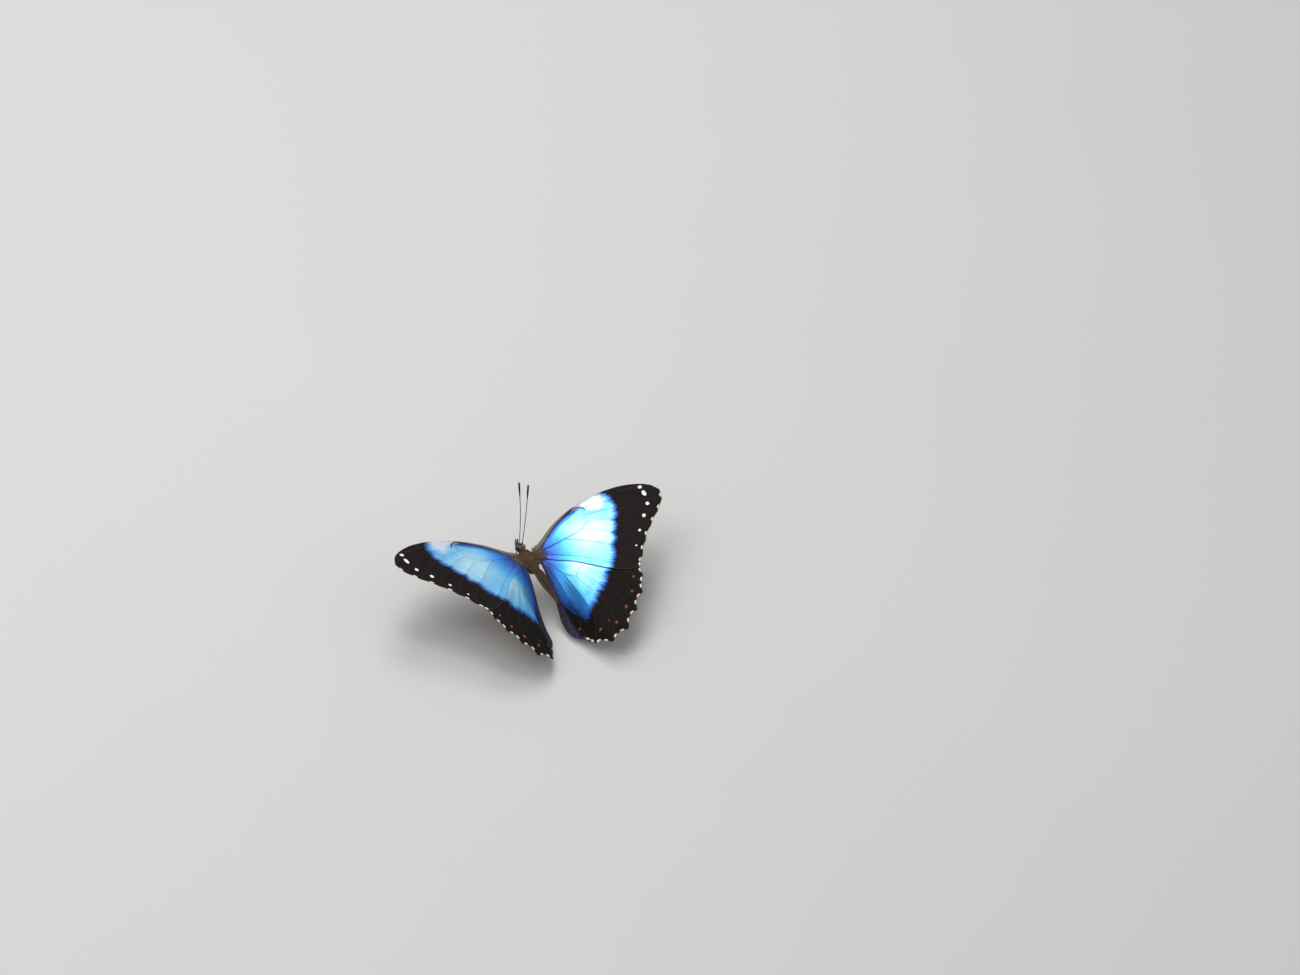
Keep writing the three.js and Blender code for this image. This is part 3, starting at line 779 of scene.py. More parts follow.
def hind_fields(p, far, front, wave):
    s, t = p[:, 0], p[:, 1]
    # painted highlight: a pale spot painted in the middle of the hindwing's blue, raising the blue's
    # lightness there
    painted_highlight = np.exp(-(((s - 14) / 8.0) ** 2 + ((t + 13) / 9.5) ** 2))
    outward = 0.56 * smooth((far - 3) / 16) * (0.60 + 0.40 * smooth((s - 4) / 8))
    tone = 0.06 + outward + 0.38 * painted_highlight + 0.06 * wave
    fold = smooth((1.5 - s) / 2.6) * smooth((-t - 8) / 12) * 1.1
    rim = smooth((1.3 - line_distance(p, hind.curves["inner"])) / 1.0) * smooth((-t - 2) / 4)
    return {
        "tone": tone - 0.16 * smooth((3.4 - s) / 3),
        "costal": 1.5 * smooth((1.8 - front) / 1.0) - 0.4,
        "patch": np.full(len(p), -3.0),
        "bar": np.full(len(p), -1.0),
        "anal": np.maximum(fold - 0.05, rim - 0.05),
        "pale": pale_bands(p, HIND_PALE),
        "hem": far + 9,
        "white": spot_field(p, NO_SPOT),
        "red": spot_field(p, HIND_RED),
        "cream": spot_field(p, edge_dashes(hind, 0.95, 0.38)),
    }


def wing_fields(wing, p):
    """All the distances the two wing materials draw from, at points p of the wing plane."""
    s, t = p[:, 0], p[:, 1]
    far = np.hypot(s, t)
    vein = nearest(p, wing.veins)
    front = line_distance(p, wing.curves["front"])
    wave = noise2(s * 0.16 + 9, t * 0.16, SEED + 3)
    band = inside_distance(p, outline(FORE_BLUE if wing.is_fore else HIND_BLUE))
    eyespots = FORE_EYESPOTS if wing.is_fore else HIND_EYESPOTS
    rings = [np.hypot(s - x, t - y) / r for x, y, r in eyespots]
    return {
        # blue reaches a little further out halfway between veins
        "band": band + 0.35 * (smooth(vein / 2.2) - 0.55),
        "vein": vein,
        "edge": line_distance(p, wing.patch(np.ones(500), np.linspace(0, 1, 500))),
        "turn": np.arctan2(t - 1.0, s + 6.0),
        "reach": np.hypot(s + 6.0, t - 1.0),
        "fray": 1.4 + 3.4 * smooth((far - 12) / 16),
        "inked": 0.70 - 0.40 * smooth((far - 6) / 14),
        "rooty": 1.25 - far / 4.6,
        "ring": np.minimum(np.minimum.reduce(rings), 9.0),
        **(fore_fields if wing.is_fore else hind_fields)(p, far, front, wave),
    }


def seam_rise(wing, p):
    """How far the hindwing is lifted toward the forewing's hind edge, so that no gap shows there."""
    return 0.0 if wing.is_fore else 0.26 * bell(line_distance(p, fore.curves["inner"]), 0, 3.2)


def unwrap(wing, p, grid):
    """Place in the upper side's island of the unwrap; that and the underside's fill half the square each."""
    low, high = grid.min(axis=0), grid.max(axis=0)
    room = np.array([0.98, 0.48] if wing.is_fore else [0.48, 0.98])
    return (p - low) / ((high - low) / room).max() + 0.01


def wing_surfaces(wing, p, fields):
    """Upper and lower surface, with raised veins, sunk pleats between them and a thin edge."""
    s, t = p[:, 0], p[:, 1]
    thick_vein = 0.075 + 0.09 * np.exp(-np.hypot(s, t) / 22)
    calm = 1 - 0.85 * bell(line_distance(p, fore.curves["inner"]), 0, 2.4)
    ridge = thick_vein * bell(fields["vein"], 0, 0.22) * calm
    pleat = -0.16 * smooth(fields["vein"] / 2.4) * smooth(np.hypot(s, t) / 14) * calm + seam_rise(wing, p)
    ripple = 0.16 * noise2(s * 0.22, t * 0.22, SEED + 11) * smooth(np.hypot(s, t) / 30)
    thin = MEMBRANE / 2 * (0.35 + 0.65 * smooth(fields["edge"] / 1.2))
    middle = pleat + ripple
    return wing.space(s, t, middle + thin + ridge), wing.space(s, t, middle - thin - ridge * 0.8)


def wing_sheet(wing):
    nu, nv = wing.shape["grid"]
    # rows crowd toward the outer edge, where the small marks are
    u, v = np.meshgrid(1 - np.linspace(1, 0, nu) ** 1.25, np.linspace(0, 1, nv), indexing="ij")
    p = wing.patch(u.ravel(), v.ravel())
    fields = wing_fields(wing, p)
    verts = np.vstack(wing_surfaces(wing, p, fields))
    count, last = nu * nv, (nu - 1) * nv
    quads = grid_faces(nu, nv)
    i, j = np.arange(nu - 1) * nv, np.arange(nv - 1)
    edges = [(j + 1, j), (last + j, last + j + 1), (i, i + nv), (i + nv + nv - 1, i + nv - 1)]
    rim = [np.stack([a, b, b + count, a + count], axis=1) for a, b in edges]
    faces = [quads[:, ::-1], quads + count, *rim]
    slots = np.repeat([0, 1, 0], [len(quads), len(quads), sum(len(r) for r in rim)])
    upper = unwrap(wing, p, p)
    uv = np.vstack([upper, upper + ([0, 0.5] if wing.is_fore else [0.5, 0])])
    # the thin rim takes its colour from the upper side's last row
    corner_uv = np.concatenate([uv[g.ravel()] for g in faces[:2]] + [uv[(g % count).ravel()] for g in rim])
    return verts, faces, slots, corner_uv, {k: np.tile(x, 2) for k, x in fields.items()}


def add_wings():
    for wing in (fore, hind):
        verts, faces, slots, corner_uv, fields = wing_sheet(wing)
        for side, flip in SIDES:
            v, f = mirrored(verts, faces, flip)
            uv = corner_uv if side == "left" else turned_uv(corner_uv, faces)
            piece = build(f"{wing.name}_{side}_scaled", v, f, [UPPER, UNDER], slots, uv, fields)
            keep(piece, [f"{wing.name}_{side}"])


add_wings()


# ---------------------------------------------------------------- strands
def strands(roots, lie, normal, length, width, rise, seed, per=3, spread=0.07, flat=0.35, wander=0.22):
    """Tufts of tapered, bent solid strands, three-sided.

    Returns points and faces, and for each point its tuft, its share of the strand's length and its place
    across the tuft.
    """
    r = np.random.default_rng(seed)
    n = len(roots) * per
    tuft = np.repeat(np.arange(len(roots)), per)
    lie, normal = unit(lie[tuft]), unit(normal[tuft])
    side = unit(np.cross(lie, normal))
    size = length[tuft] * r.uniform(0.75, 1.2, n)
    girth = width[tuft] * r.uniform(0.8, 1.2, n) / 2
    sway = r.normal(0, wander, n)
    lift = rise[tuft] * r.uniform(0.6, 1.4, n)
    heading = unit(lie + side * sway[:, None])
    start = roots[tuft] + side * r.normal(0, spread, n)[:, None] + lie * r.normal(0, spread, n)[:, None]
    start = start - normal * 0.06

    def half_strand(angle):
        return (heading * np.cos(angle)[:, None] + normal * np.sin(angle)[:, None]) * (size * 0.5)[:, None]

    middle = start + half_strand(lift)
    tip = middle + half_strand(lift * 0.3)
    across = unit(np.cross(heading, normal))
    corners = [across, -across, normal * flat]
    verts = np.stack([start + c * girth[:, None] for c in corners]
                     + [middle + c * (girth * 0.85)[:, None] for c in corners] + [tip], axis=1)
    base = np.arange(n)[:, None] * 7
    around = ((0, 2), (2, 1), (1, 0))
    quads = np.concatenate([base + np.array([[a, b, b + 3, a + 3]]) for a, b in around])
    tips = [base + np.array([[a + 3, b + 3, 6]]) for a, b in around]
    tris = np.concatenate([base + np.array([[0, 1, 2]]), *tips])
    share = np.tile([0, 0, 0, 0.5, 0.5, 0.5, 1.0], n)
    lane = np.repeat(np.arange(n) % per, 7)
    cross_share = np.tile([0, 1, 0.5, 0, 1, 0.5, 0.5], n)
    return verts.reshape(-1, 3), [quads, tris], np.repeat(tuft, 7), share, (lane + cross_share) / per


def coat(name, roots, lie, normal, length, width, rise, colours, root_uv, material, seed,
         slot="body_fur", flip=np.ones(3), **more):
    """One piece of hair. length, width and rise are one value each or one for each tuft."""
    n = len(roots)
    length, width, rise = (np.broadcast_to(np.asarray(x, float), n) for x in (length, width, rise))
    verts, faces, tuft, share, lane = strands(
        roots * flip, lie * flip, normal * flip, length, width, rise, seed, **more)
    r = np.random.default_rng(seed + 1)
    change = r.uniform(0.72, 1.3, n)[:, None] * (1 + r.normal(0, 0.05, (n, 3)))
    tint = np.clip(colours * change, 0, 1)[tuft] * (0.72 + 0.42 * share)[:, None]
    uv = root_uv[tuft] + np.stack([lane - 0.5, share - 0.5], axis=1) * 0.003
    piece = build(name, verts, faces, [material], uv=np.clip(uv, 0, 1), floats={"tip": share},
                  colour=np.clip(tint, 0, 1))
    keep(piece, [])


# ---------------------------------------------------------------- body
# forward of the wing roots, centre height, half width, half height: the skin under the hair
BODY = np.array([
    [7.42, -1.28, 0.22, 0.30], [7.28, -1.22, 0.52, 0.80], [6.9, -1.10, 0.70, 1.25], [6.3, -1.0, 0.78, 1.50],
    [5.6, -1.0, 0.80, 1.56], [5.0, -1.1, 0.74, 1.35], [4.6, -1.3, 0.66, 1.02], [4.3, -1.45, 0.72, 0.98],
    [3.85, -1.65, 1.30, 1.45], [3.1, -1.85, 2.00, 2.25], [2.0, -2.0, 2.42, 2.85], [0.6, -2.15, 2.66, 3.20],
    [-0.9, -2.2, 2.72, 3.28], [-2.6, -2.25, 2.64, 3.12], [-4.2, -2.3, 2.42, 2.72], [-5.6, -2.25, 1.95, 2.15],
    [-6.5, -2.1, 1.35, 1.50], [-7.1, -1.95, 1.02, 1.10], [-7.8, -1.75, 1.28, 1.32], [-9.0, -1.60, 1.66, 1.74],
    [-10.8, -1.62, 1.90, 2.00], [-13.0, -1.75, 1.94, 2.06], [-15.5, -1.98, 1.80, 1.92],
    [-18.0, -2.25, 1.52, 1.62], [-20.5, -2.60, 1.16, 1.24], [-22.8, -2.98, 0.84, 0.90],
    [-24.6, -3.28, 0.58, 0.62], [-25.5, -3.43, 0.34, 0.38], [-25.75, -3.46, 0.12, 0.14],
])
RINGS = np.array([-9.2, -11.4, -13.6, -15.8, -17.9, -20.0, -21.9, -23.6])
BODY_CURVE = spline(BODY, 900)


def body_shape(x, a):
    """Point of the skin at a share x of its length and an angle a, from the animal's left over the top."""
    c = along(BODY_CURVE, x)
    t, up, wide, high = c[..., 0], c[..., 1], c[..., 2], c[..., 3]
    thorax = smooth((4.2 - t) / 0.8) * smooth((t + 7.0) / 0.8)
    belly = smooth((-7.2 - t) / 0.8)
    top = np.sin(a)
    # shield of the back with its hind lobe, a seam down the middle, and flanks in three plates
    swell = 0.10 * thorax * bell(t, -4.3, 0.7) * smooth(top * 1.6)
    swell = swell - 0.09 * thorax * bell(t, -3.25, 0.22) * smooth(top * 1.4 + 0.2)
    swell = swell - 0.05 * thorax * bell(np.cos(a), 0, 0.06) * (top > 0)
    swell = swell - 0.10 * thorax * smooth(0.6 - top) * np.abs(np.sin((t + 0.6) * 1.25)) ** 6
    rings = sum(bell(t, r, 0.16) for r in RINGS)
    lap = sum(smooth((t - r) / 0.5) * smooth((r + 2.0 - t) / 1.6) for r in RINGS)
    swell = swell - belly * (0.085 * rings - 0.03 * lap)
    swell = swell + 0.025 * noise2(t * 1.4 + 40, a * 2.2, SEED + 31)
    flat = belly * 0.06 * bell(np.abs(np.cos(a)), 0.85, 0.16)
    scale = 1 + swell - flat
    return body_point(wide * np.cos(a) * scale, t, up + high * np.sin(a) * scale)


def body_tint(x, a):
    c = along(BODY_CURVE, x)
    t = c[..., 0]
    top = np.sin(a)
    head = smooth((t - 4.1) / 0.5)[..., None]
    belly = smooth((-6.9 - t) / 0.7)[..., None]
    up = smooth((top + 0.35) / 0.9)[..., None]
    flank = bell(top, -0.15, 0.38)[..., None]
    blot = noise2(t * 0.9 + 5, a * 1.6, SEED + 17)[..., None]
    thorax = mix(rgb(0.110, 0.070, 0.038), rgb(0.270, 0.172, 0.082), up)
    thorax = mix(thorax, rgb(0.215, 0.150, 0.082), 0.45 * flank)
    abdomen = mix(rgb(0.310, 0.212, 0.118), rgb(0.112, 0.070, 0.038), smooth((top - 0.05) / 0.5)[..., None])
    rings = sum(bell(t, r, 0.22) for r in RINGS)[..., None]
    abdomen = mix(abdomen, rgb(0.33, 0.23, 0.13), 0.35 * rings)
    face = mix(rgb(0.140, 0.090, 0.050), rgb(0.085, 0.053, 0.030), up)
    out = mix(mix(thorax, abdomen, belly), face, head)
    # four pale dots on the crown and collar
    for dt, da in ((5.1, 0.30), (5.1, -0.30), (6.7, 0.36), (6.7, -0.36)):
        d = np.hypot((t - dt) / 0.26, (a - np.pi / 2 - da) / 0.22)
        out = mix(out, rgb(0.62, 0.56, 0.46), smooth((1.15 - d) / 0.4)[..., None])
    return np.clip(out * (1 + 0.22 * blot), 0, 1)


def body_normal(x, a):
    e = 1e-3
    dx = body_shape(np.clip(x + e, 0, 1), a) - body_shape(np.clip(x - e, 0, 1), a)
    da = body_shape(x, a + e) - body_shape(x, a - e)
    return unit(np.cross(dx, da)), unit(dx)


def body_uv(x, a):
    return np.stack([np.mod(a / (2 * np.pi), 1.0) * 0.98 + 0.01, x * 0.98 + 0.01], axis=-1)


# painted shade: the skin is darkened to stand for the shadow that lies under its hair
SKIN_PAINTED_SHADE = 0.5       # the skin is darker than the hair that grows from it
FORWARD = np.array([0.0, -1.0, 0.0])


def skin_uv(rows, cols):
    """The skin's unwrap, corner by corner: one sheet, cut open along the animal's left."""
    i, j = np.meshgrid(np.arange(rows - 1), np.arange(cols), indexing="ij")
    i, j = i.ravel(), j.ravel()
    u = np.stack([j, j + 1, j + 1, j], axis=1) / cols
    v = np.stack([i, i, i + 1, i + 1], axis=1) / (rows - 1)
    k = np.arange(cols)
    first, last = np.stack([k + 0.5, k + 1, k], axis=1), np.stack([k + 0.5, k, k + 1], axis=1)
    cap_u = np.concatenate([first, last]) / cols
    cap_v = np.repeat([[-0.006, 0, 0], [1.006, 1, 1]], cols, axis=0)
    u, v = (np.concatenate([q.ravel(), cap.ravel()]) for q, cap in ((u, cap_u), (v, cap_v)))
    return np.stack([u, v], axis=1) * 0.98 + 0.01


def add_skin():
    rows, cols = 300, 80
    x, a = np.meshgrid(np.linspace(0, 1, rows), np.arange(cols) * 2 * np.pi / cols, indexing="ij")
    x, a = x.ravel(), a.ravel()
    verts, faces = closed_grid(body_shape(x, a), rows, cols)
    uv = skin_uv(rows, cols)
    if not points_out(verts, faces):
        uv, faces = turned_uv(uv, faces), turned(faces)
    # painted shade darkens the skin's colours under the hair
    tint = np.vstack([body_tint(x, a) * SKIN_PAINTED_SHADE, np.full((2, 3), 0.03)])
    fields = {"round": np.append(a / (2 * np.pi), [0, 0]), "far": np.append(x * 30, [0, 30])}
    piece = build("body_skin", verts, faces, [SKIN], uv=uv, colour=tint, floats=fields)
    keep(piece, ["head", "thorax", "abdomen"])


def body_scatter(count, front, back, seed, weight=None):
    """Evenly spread places on the skin between two stations, as length shares and angles."""
    r = np.random.default_rng(seed)
    run = BODY_CURVE[:, 0]
    lo = np.interp(-front, -run, np.linspace(0, 1, len(run)))
    hi = np.interp(-back, -run, np.linspace(0, 1, len(run)))
    x = r.uniform(lo, hi, count * 4)
    a = r.uniform(0, 2 * np.pi, count * 4)
    c = along(BODY_CURVE, x)
    step = np.abs(np.gradient(run))
    local = np.interp(x, np.linspace(0, 1, len(run)), step / step.max())
    chance = (c[:, 2] + c[:, 3]) / 6.2 * (0.35 + 0.65 * local)
    if weight is not None:
        chance = chance * weight(c[:, 0], a)
    pick = np.flatnonzero(r.uniform(0, chance.max(), len(x)) < chance)[:count]
    return x[pick], a[pick]


def near_eye(t, a):
    """Hardly any hair where the eyes sit."""
    return 1 - 0.97 * bell(np.sin(a), 0, 0.50) * ((t > 4.7) & (t < 6.7))


def add_body_coat():
    # name, tufts, front and back end, length, width and rise of a hair, seed, how thickly it grows
    for name, count, front, back, long, wide, rise, seed, weight in (
            ("thorax_hair", 6400, 4.7, -7.4, 1.50, 0.046, 0.42, 101, None),
            ("head_hair", 2600, 7.45, 4.2, 0.50, 0.036, 0.40, 111, near_eye),
            ("abdomen_hair", 5600, -7.2, -25.7, 0.66, 0.048, 0.20, 121, None)):
        x, a = body_scatter(count, front, back, seed, weight)
        p, t = body_shape(x, a), along(BODY_CURVE, x)[:, 0]
        normal, way = body_normal(x, a)
        size, material, spread = np.full(len(p), long), FINE_COAT, 0.06
        if name == "thorax_hair":
            size = long * (0.80 + 0.35 * smooth((0.55 - np.sin(a)) / 0.8))
            size = size * (0.85 + 0.15 * smooth((3.6 - t) / 2))
            material, spread = COAT, 0.14
        elif name == "head_hair":
            size = long * (0.8 + 0.5 * smooth((x - 0.02) / 0.05))
            way = unit(way * 0.3 + normal * 0.5 + FORWARD * 0.6)
        coat(name, p, way, normal, size, wide, rise, body_tint(x, a), body_uv(x, a), material, seed,
             spread=spread)


# ---------------------------------------------------------------- eyes, feelers, mouth
EYE_FOOT = -0.62       # angle from the eye's equator to its rim on the head


def add_eyes():
    rows, cols = 44, 72
    lat = EYE_FOOT + (np.pi / 2 - 0.001 - EYE_FOOT) * np.linspace(0.0, 1.0, rows)
    lat, turn = np.meshgrid(lat, np.arange(cols) * 2 * np.pi / cols, indexing="ij")
    out = 0.98 + 1.44 * np.sin(lat)
    forward = 5.75 + 1.24 * np.cos(lat) * np.cos(turn)
    up = -0.85 + 1.42 * np.cos(lat) * np.sin(turn)
    verts, faces = closed_grid(body_point(out, forward, up).reshape(-1, 3), rows, cols)
    faces = facing_out(verts, faces)
    fields = {"far": np.append(np.clip((out.ravel() - 0.85) / 1.57, 0, 1), [0, 1])}
    for side, flip in SIDES:
        v, f = mirrored(verts, faces, flip)
        keep(build("eye_faceted_" + side, v, f, [EYE], floats=fields), ["eye_" + side])


FEELER = 28.0          # length
FEELER_JOINTS = 42
FEELER_LEANS = ((-0.010, 0.370, 0.930), (-0.030, 0.240, 0.970))


def feeler_radius(x):
    """Thin ringed shaft that ends in a long club, with a swollen foot in a socket."""
    radius = 0.165 + 0.245 * smooth((x - 0.73) / 0.17)
    joints = np.abs(np.sin(np.pi * x * FEELER_JOINTS))
    radius = radius * (1 - 0.16 * bell(joints, 0, 0.22)) * np.sqrt(np.clip((1.0 - x) / 0.018, 0.05, 1))
    radius = radius + 0.16 * bell(x, 0.008, 0.012)
    return np.concatenate([np.linspace(0.36, radius[0], 9)[:-1], radius])


def feeler_tint(share):
    """Brown shaft with pale rings, dark club, rusty tip."""
    s = np.clip((share - 0.02) / 0.98, 0, 1)
    tint = mix(rgb(0.115, 0.078, 0.048), rgb(0.020, 0.014, 0.012), smooth((s - 0.62) / 0.16)[:, None])
    rings = bell(np.abs(np.sin(np.pi * s * FEELER_JOINTS)), 0, 0.25)[:, None]
    pale = rings * (1 - smooth((s - 0.6) / 0.15))[:, None]
    tint = mix(tint, rgb(0.30, 0.25, 0.18), 0.5 * pale)
    return mix(tint, rgb(0.11, 0.052, 0.028), smooth((s - 0.93) / 0.07)[:, None])


def add_antennae():
    x = np.linspace(0, 1, 420)
    bow = 1.4 * np.sin(np.pi * x) * 0.5
    for (side, (sign, _, _)), lean in zip(SIDES, FEELER_LEANS):
        out, forward, up = unit(np.array(lean))
        path = body_point(0.75 * sign + out * FEELER * x - bow * 0.25 * sign,
                          6.15 + forward * FEELER * x - bow, 1.05 + up * FEELER * x + bow * 0.3)
        foot = body_point(0.55 * sign, 6.15, 0.05)
        path = np.vstack([np.linspace(foot, path[0], 9)[:-1], path])
        verts, faces, share, _ = tube(path, feeler_radius(x), 16)
        piece = build("feeler_" + side, verts, facing_out(verts, faces), [LIMB], colour=feeler_tint(share))
        keep(piece, ["antenna_" + side])


def add_hairy_pair(skin, hair, replaced, slot, axis, radius, sides, tint, pick, shade, size, seed, spread):
    """Two mirrored tubes around an axis, with hair at the picked points.

    tint gives the skin's colours by angle, shade makes the hair lighter, size is its length, width and rise.
    """
    verts, faces, share, angle = tube(axis, radius, sides)
    faces = facing_out(verts, faces)
    tint = tint(angle)
    normal = unit(verts[pick] - axis[pick // sides])
    way = unit(np.gradient(axis, axis=0))[pick // sides]
    place = np.stack([angle[pick], share[pick]], axis=1) * 0.96 + 0.02
    for side, flip in SIDES:
        v, f = mirrored(verts, faces, flip)
        keep(build(f"{skin}_{side}", v, f, [LIMB], colour=tint), [f"{replaced}_{side}"])
        coat(f"{hair}_{side}", verts[pick], way, normal, *size, tint[pick] * shade, place, FINE_COAT, seed,
             slot=slot, flip=flip, per=2, spread=spread)


def palp_tint(angle):
    """Pale below, dark above."""
    top = smooth((np.sin(angle * 2 * np.pi) + 0.4) / 0.8)[:, None]
    return mix(rgb(0.30, 0.205, 0.115), rgb(0.052, 0.033, 0.020), top)


def add_palps():
    points = spline([[0.40, 6.55, -2.05], [0.44, 7.15, -2.25], [0.48, 7.85, -1.90], [0.50, 8.55, -1.15],
                     [0.46, 9.0, -0.35], [0.42, 9.45, 0.45]], 90)
    x = np.linspace(0, 1, 90)
    radius = 0.20 + 0.20 * np.sin(np.pi * np.clip(x * 0.95 + 0.1, 0, 1)) ** 0.8
    radius = radius * (1 - 0.25 * bell(x, 0.70, 0.03) - 0.2 * bell(x, 0.22, 0.03))
    radius[-6:] *= np.linspace(0.9, 0.3, 6)
    sides = 20
    r = np.random.default_rng(SEED + 60)
    # more hair on the lower third
    pick = np.append(r.choice(np.arange(90 * sides), 620, replace=False),
                     r.choice(np.arange(34 * sides), 260, replace=False))
    add_hairy_pair("palp_skin", "palp_hair", "palp", "body_fur", body_point(*points.T), radius, sides,
                   palp_tint, pick, 1.0, (0.46, 0.044, 0.36), 131, 0.04)


def add_proboscis():
    x = np.linspace(0, 1, 260)
    r = mix(1.36, 0.45, x)
    a = np.pi * 0.62 - 2 * np.pi * 1.25 * x
    coil = body_point(0 * x, 6.4 + r * np.cos(a), -4.35 + r * np.sin(a))
    lead = body_point(*spline([[0, 6.7, -2.1], [0, 6.35, -2.55], [0, 5.9, -2.95]], 20)[:-1].T)
    path = np.vstack([lead, coil])
    grooves = 1 - 0.10 * np.abs(np.sin(np.arange(len(path)) * 1.05)) ** 4
    verts, faces, _, angle = tube(path, mix(0.25, 0.13, np.linspace(0, 1, len(path))) * grooves, 16)
    seam = (np.abs(np.cos(angle * 2 * np.pi)) ** 3)[:, None]
    tint = mix(rgb(0.16, 0.085, 0.040), rgb(0.045, 0.028, 0.020), seam)
    keep(build("coiled_tongue", verts, facing_out(verts, faces), [LIMB], colour=tint), ["proboscis"])


# ---------------------------------------------------------------- legs
# hip, knee, heel, ball and toe: out, forward, height over the floor
MIDLEG = ((1.7, 0.4, 12.8), (7.4, 4.6, 14.0), (10.4, 9.2, 4.2), (11.8, 11.8, 0.2), (13.2, 15.0, 0.2))
HINDLEG = ((1.7, -3.0, 12.6), (6.8, -9.6, 12.6), (9.2, -18.8, 4.0), (10.2, -22.0, 0.2), (11.4, -25.8, 0.2))
DARK_HORN, PALE_HORN = rgb(0.040, 0.027, 0.020), rgb(0.215, 0.150, 0.092)
FOOT_CUTS = (0.0, 0.40, 0.58, 0.73, 0.86, 1.0)      # where the five foot joints begin and end
# tufts and hair length on the four leg joints and the five foot joints
LEG_TUFTS = (110, 40, 230, 260, 60, 24, 18, 16, 14)
LEG_HAIR = (0.70, 0.50, 0.44, 0.32, 0.20, 0.17, 0.16, 0.16, 0.14)


def limb_section(a, b, ra, rb, belly, n=26, sag=0.0, sides=16):
    """One joint of a leg, thickest before the middle and pinched at both ends."""
    x = np.linspace(0, 1, n)
    path = a + (b - a) * x[:, None]
    path[:, 2] += sag * np.sin(np.pi * x)
    radius = mix(ra, rb, x) + belly * np.sin(np.pi * x**0.8)
    radius = radius * (0.55 + 0.45 * smooth(np.minimum(x, 1 - x) / 0.07))
    return tube(path, radius, sides)


def spur(base, way, length, radius, curl=(0, 0, 0)):
    x = np.linspace(0, 1, 7)
    path = base + unit(np.array(way)) * length * x[:, None] + np.array(curl) * (x**2)[:, None]
    return tube(path, radius * (1 - 0.9 * x), 6)


def limb_scatter(shape, sides, count, r):
    """Places on one joint of a leg: points, the ways along it and out of it, and places on its unwrap."""
    v = shape[0][:-2].reshape(-1, sides, 3)
    axis = v.mean(axis=1)
    i, j = r.integers(1, len(v) - 1, count), r.integers(0, sides, count)
    place = np.stack([j / sides, i / len(v)], axis=1)
    return v[i, j], unit(np.gradient(axis, axis=0))[i], unit(v[i, j] - axis[i]), place


def leg_joints(hip, knee, heel, run):
    """Four leg joints and five foot joints with their shades, from the body outward."""
    socket = hip + np.array([-0.9, 0.1, 2.2])
    shapes = [
        limb_section(socket, hip + np.array([0.10, 0, -0.1]), 0.55, 0.36, 0.10),
        limb_section(hip, hip + (knee - hip) * 0.14, 0.36, 0.30, 0.05, 12),
        limb_section(hip + (knee - hip) * 0.12, knee, 0.30, 0.24, 0.14, 40, 0.25),
        limb_section(knee, heel, 0.22, 0.19, 0.05, 40, 0.15),
    ]
    for a, b in zip(FOOT_CUTS[:-1], FOOT_CUTS[1:]):
        shapes.append(limb_section(along(run, a), along(run, b), 0.145, 0.155, 0.015, 14, 0.0, 12))
    return shapes, [0.25, 0.3, 0.35, 0.6] + [0.8] * 5


def leg_spurs(knee, heel, toe, way, run, r):
    """Two claws, two rows of spines on the shin, two spurs at the heel, two rows of bristles on the foot."""
    side = np.array([-way[1], way[0], 0.0])
    shin = unit(heel - knee)
    out = unit(np.cross(shin, [0, 0, 1.0]))
    claws, spines, spurs, bristles = [], [], [], []
    for turn in (1, -1):
        claw_way = way + side * 0.5 * turn + np.array([0, 0, 0.35])
        claws.append(spur(toe + side * 0.06 * turn, claw_way, 0.55, 0.055, (0, 0, -0.32)))
        spurs.append(spur(heel - shin * 0.15 + out * 0.1 * turn, shin + out * 0.35 * turn, 0.95, 0.06))
    for k in range(13):
        for turn in (1, -1):
            base = knee + (heel - knee) * (0.18 + 0.062 * k) + out * 0.14 * turn + np.array([0, 0, -0.06])
            spine_way = shin * 0.9 + out * 0.45 * turn + np.array([0, 0, -0.25])
            spines.append(spur(base, spine_way, r.uniform(0.38, 0.55), 0.045))
    for k in range(16):
        for turn in (1, -1):
            base = along(run, 0.05 + 0.058 * k) + side * 0.12 * turn - np.array([0, 0, 0.05])
            bristles.append(spur(base, way * 0.8 + side * 0.6 * turn + np.array([0, 0, 0.05]), 0.24, 0.030))
    return claws + spines + spurs + bristles, [0.1] * 2 + [0.15] * 26 + [0.2] * 2 + [0.15] * 32


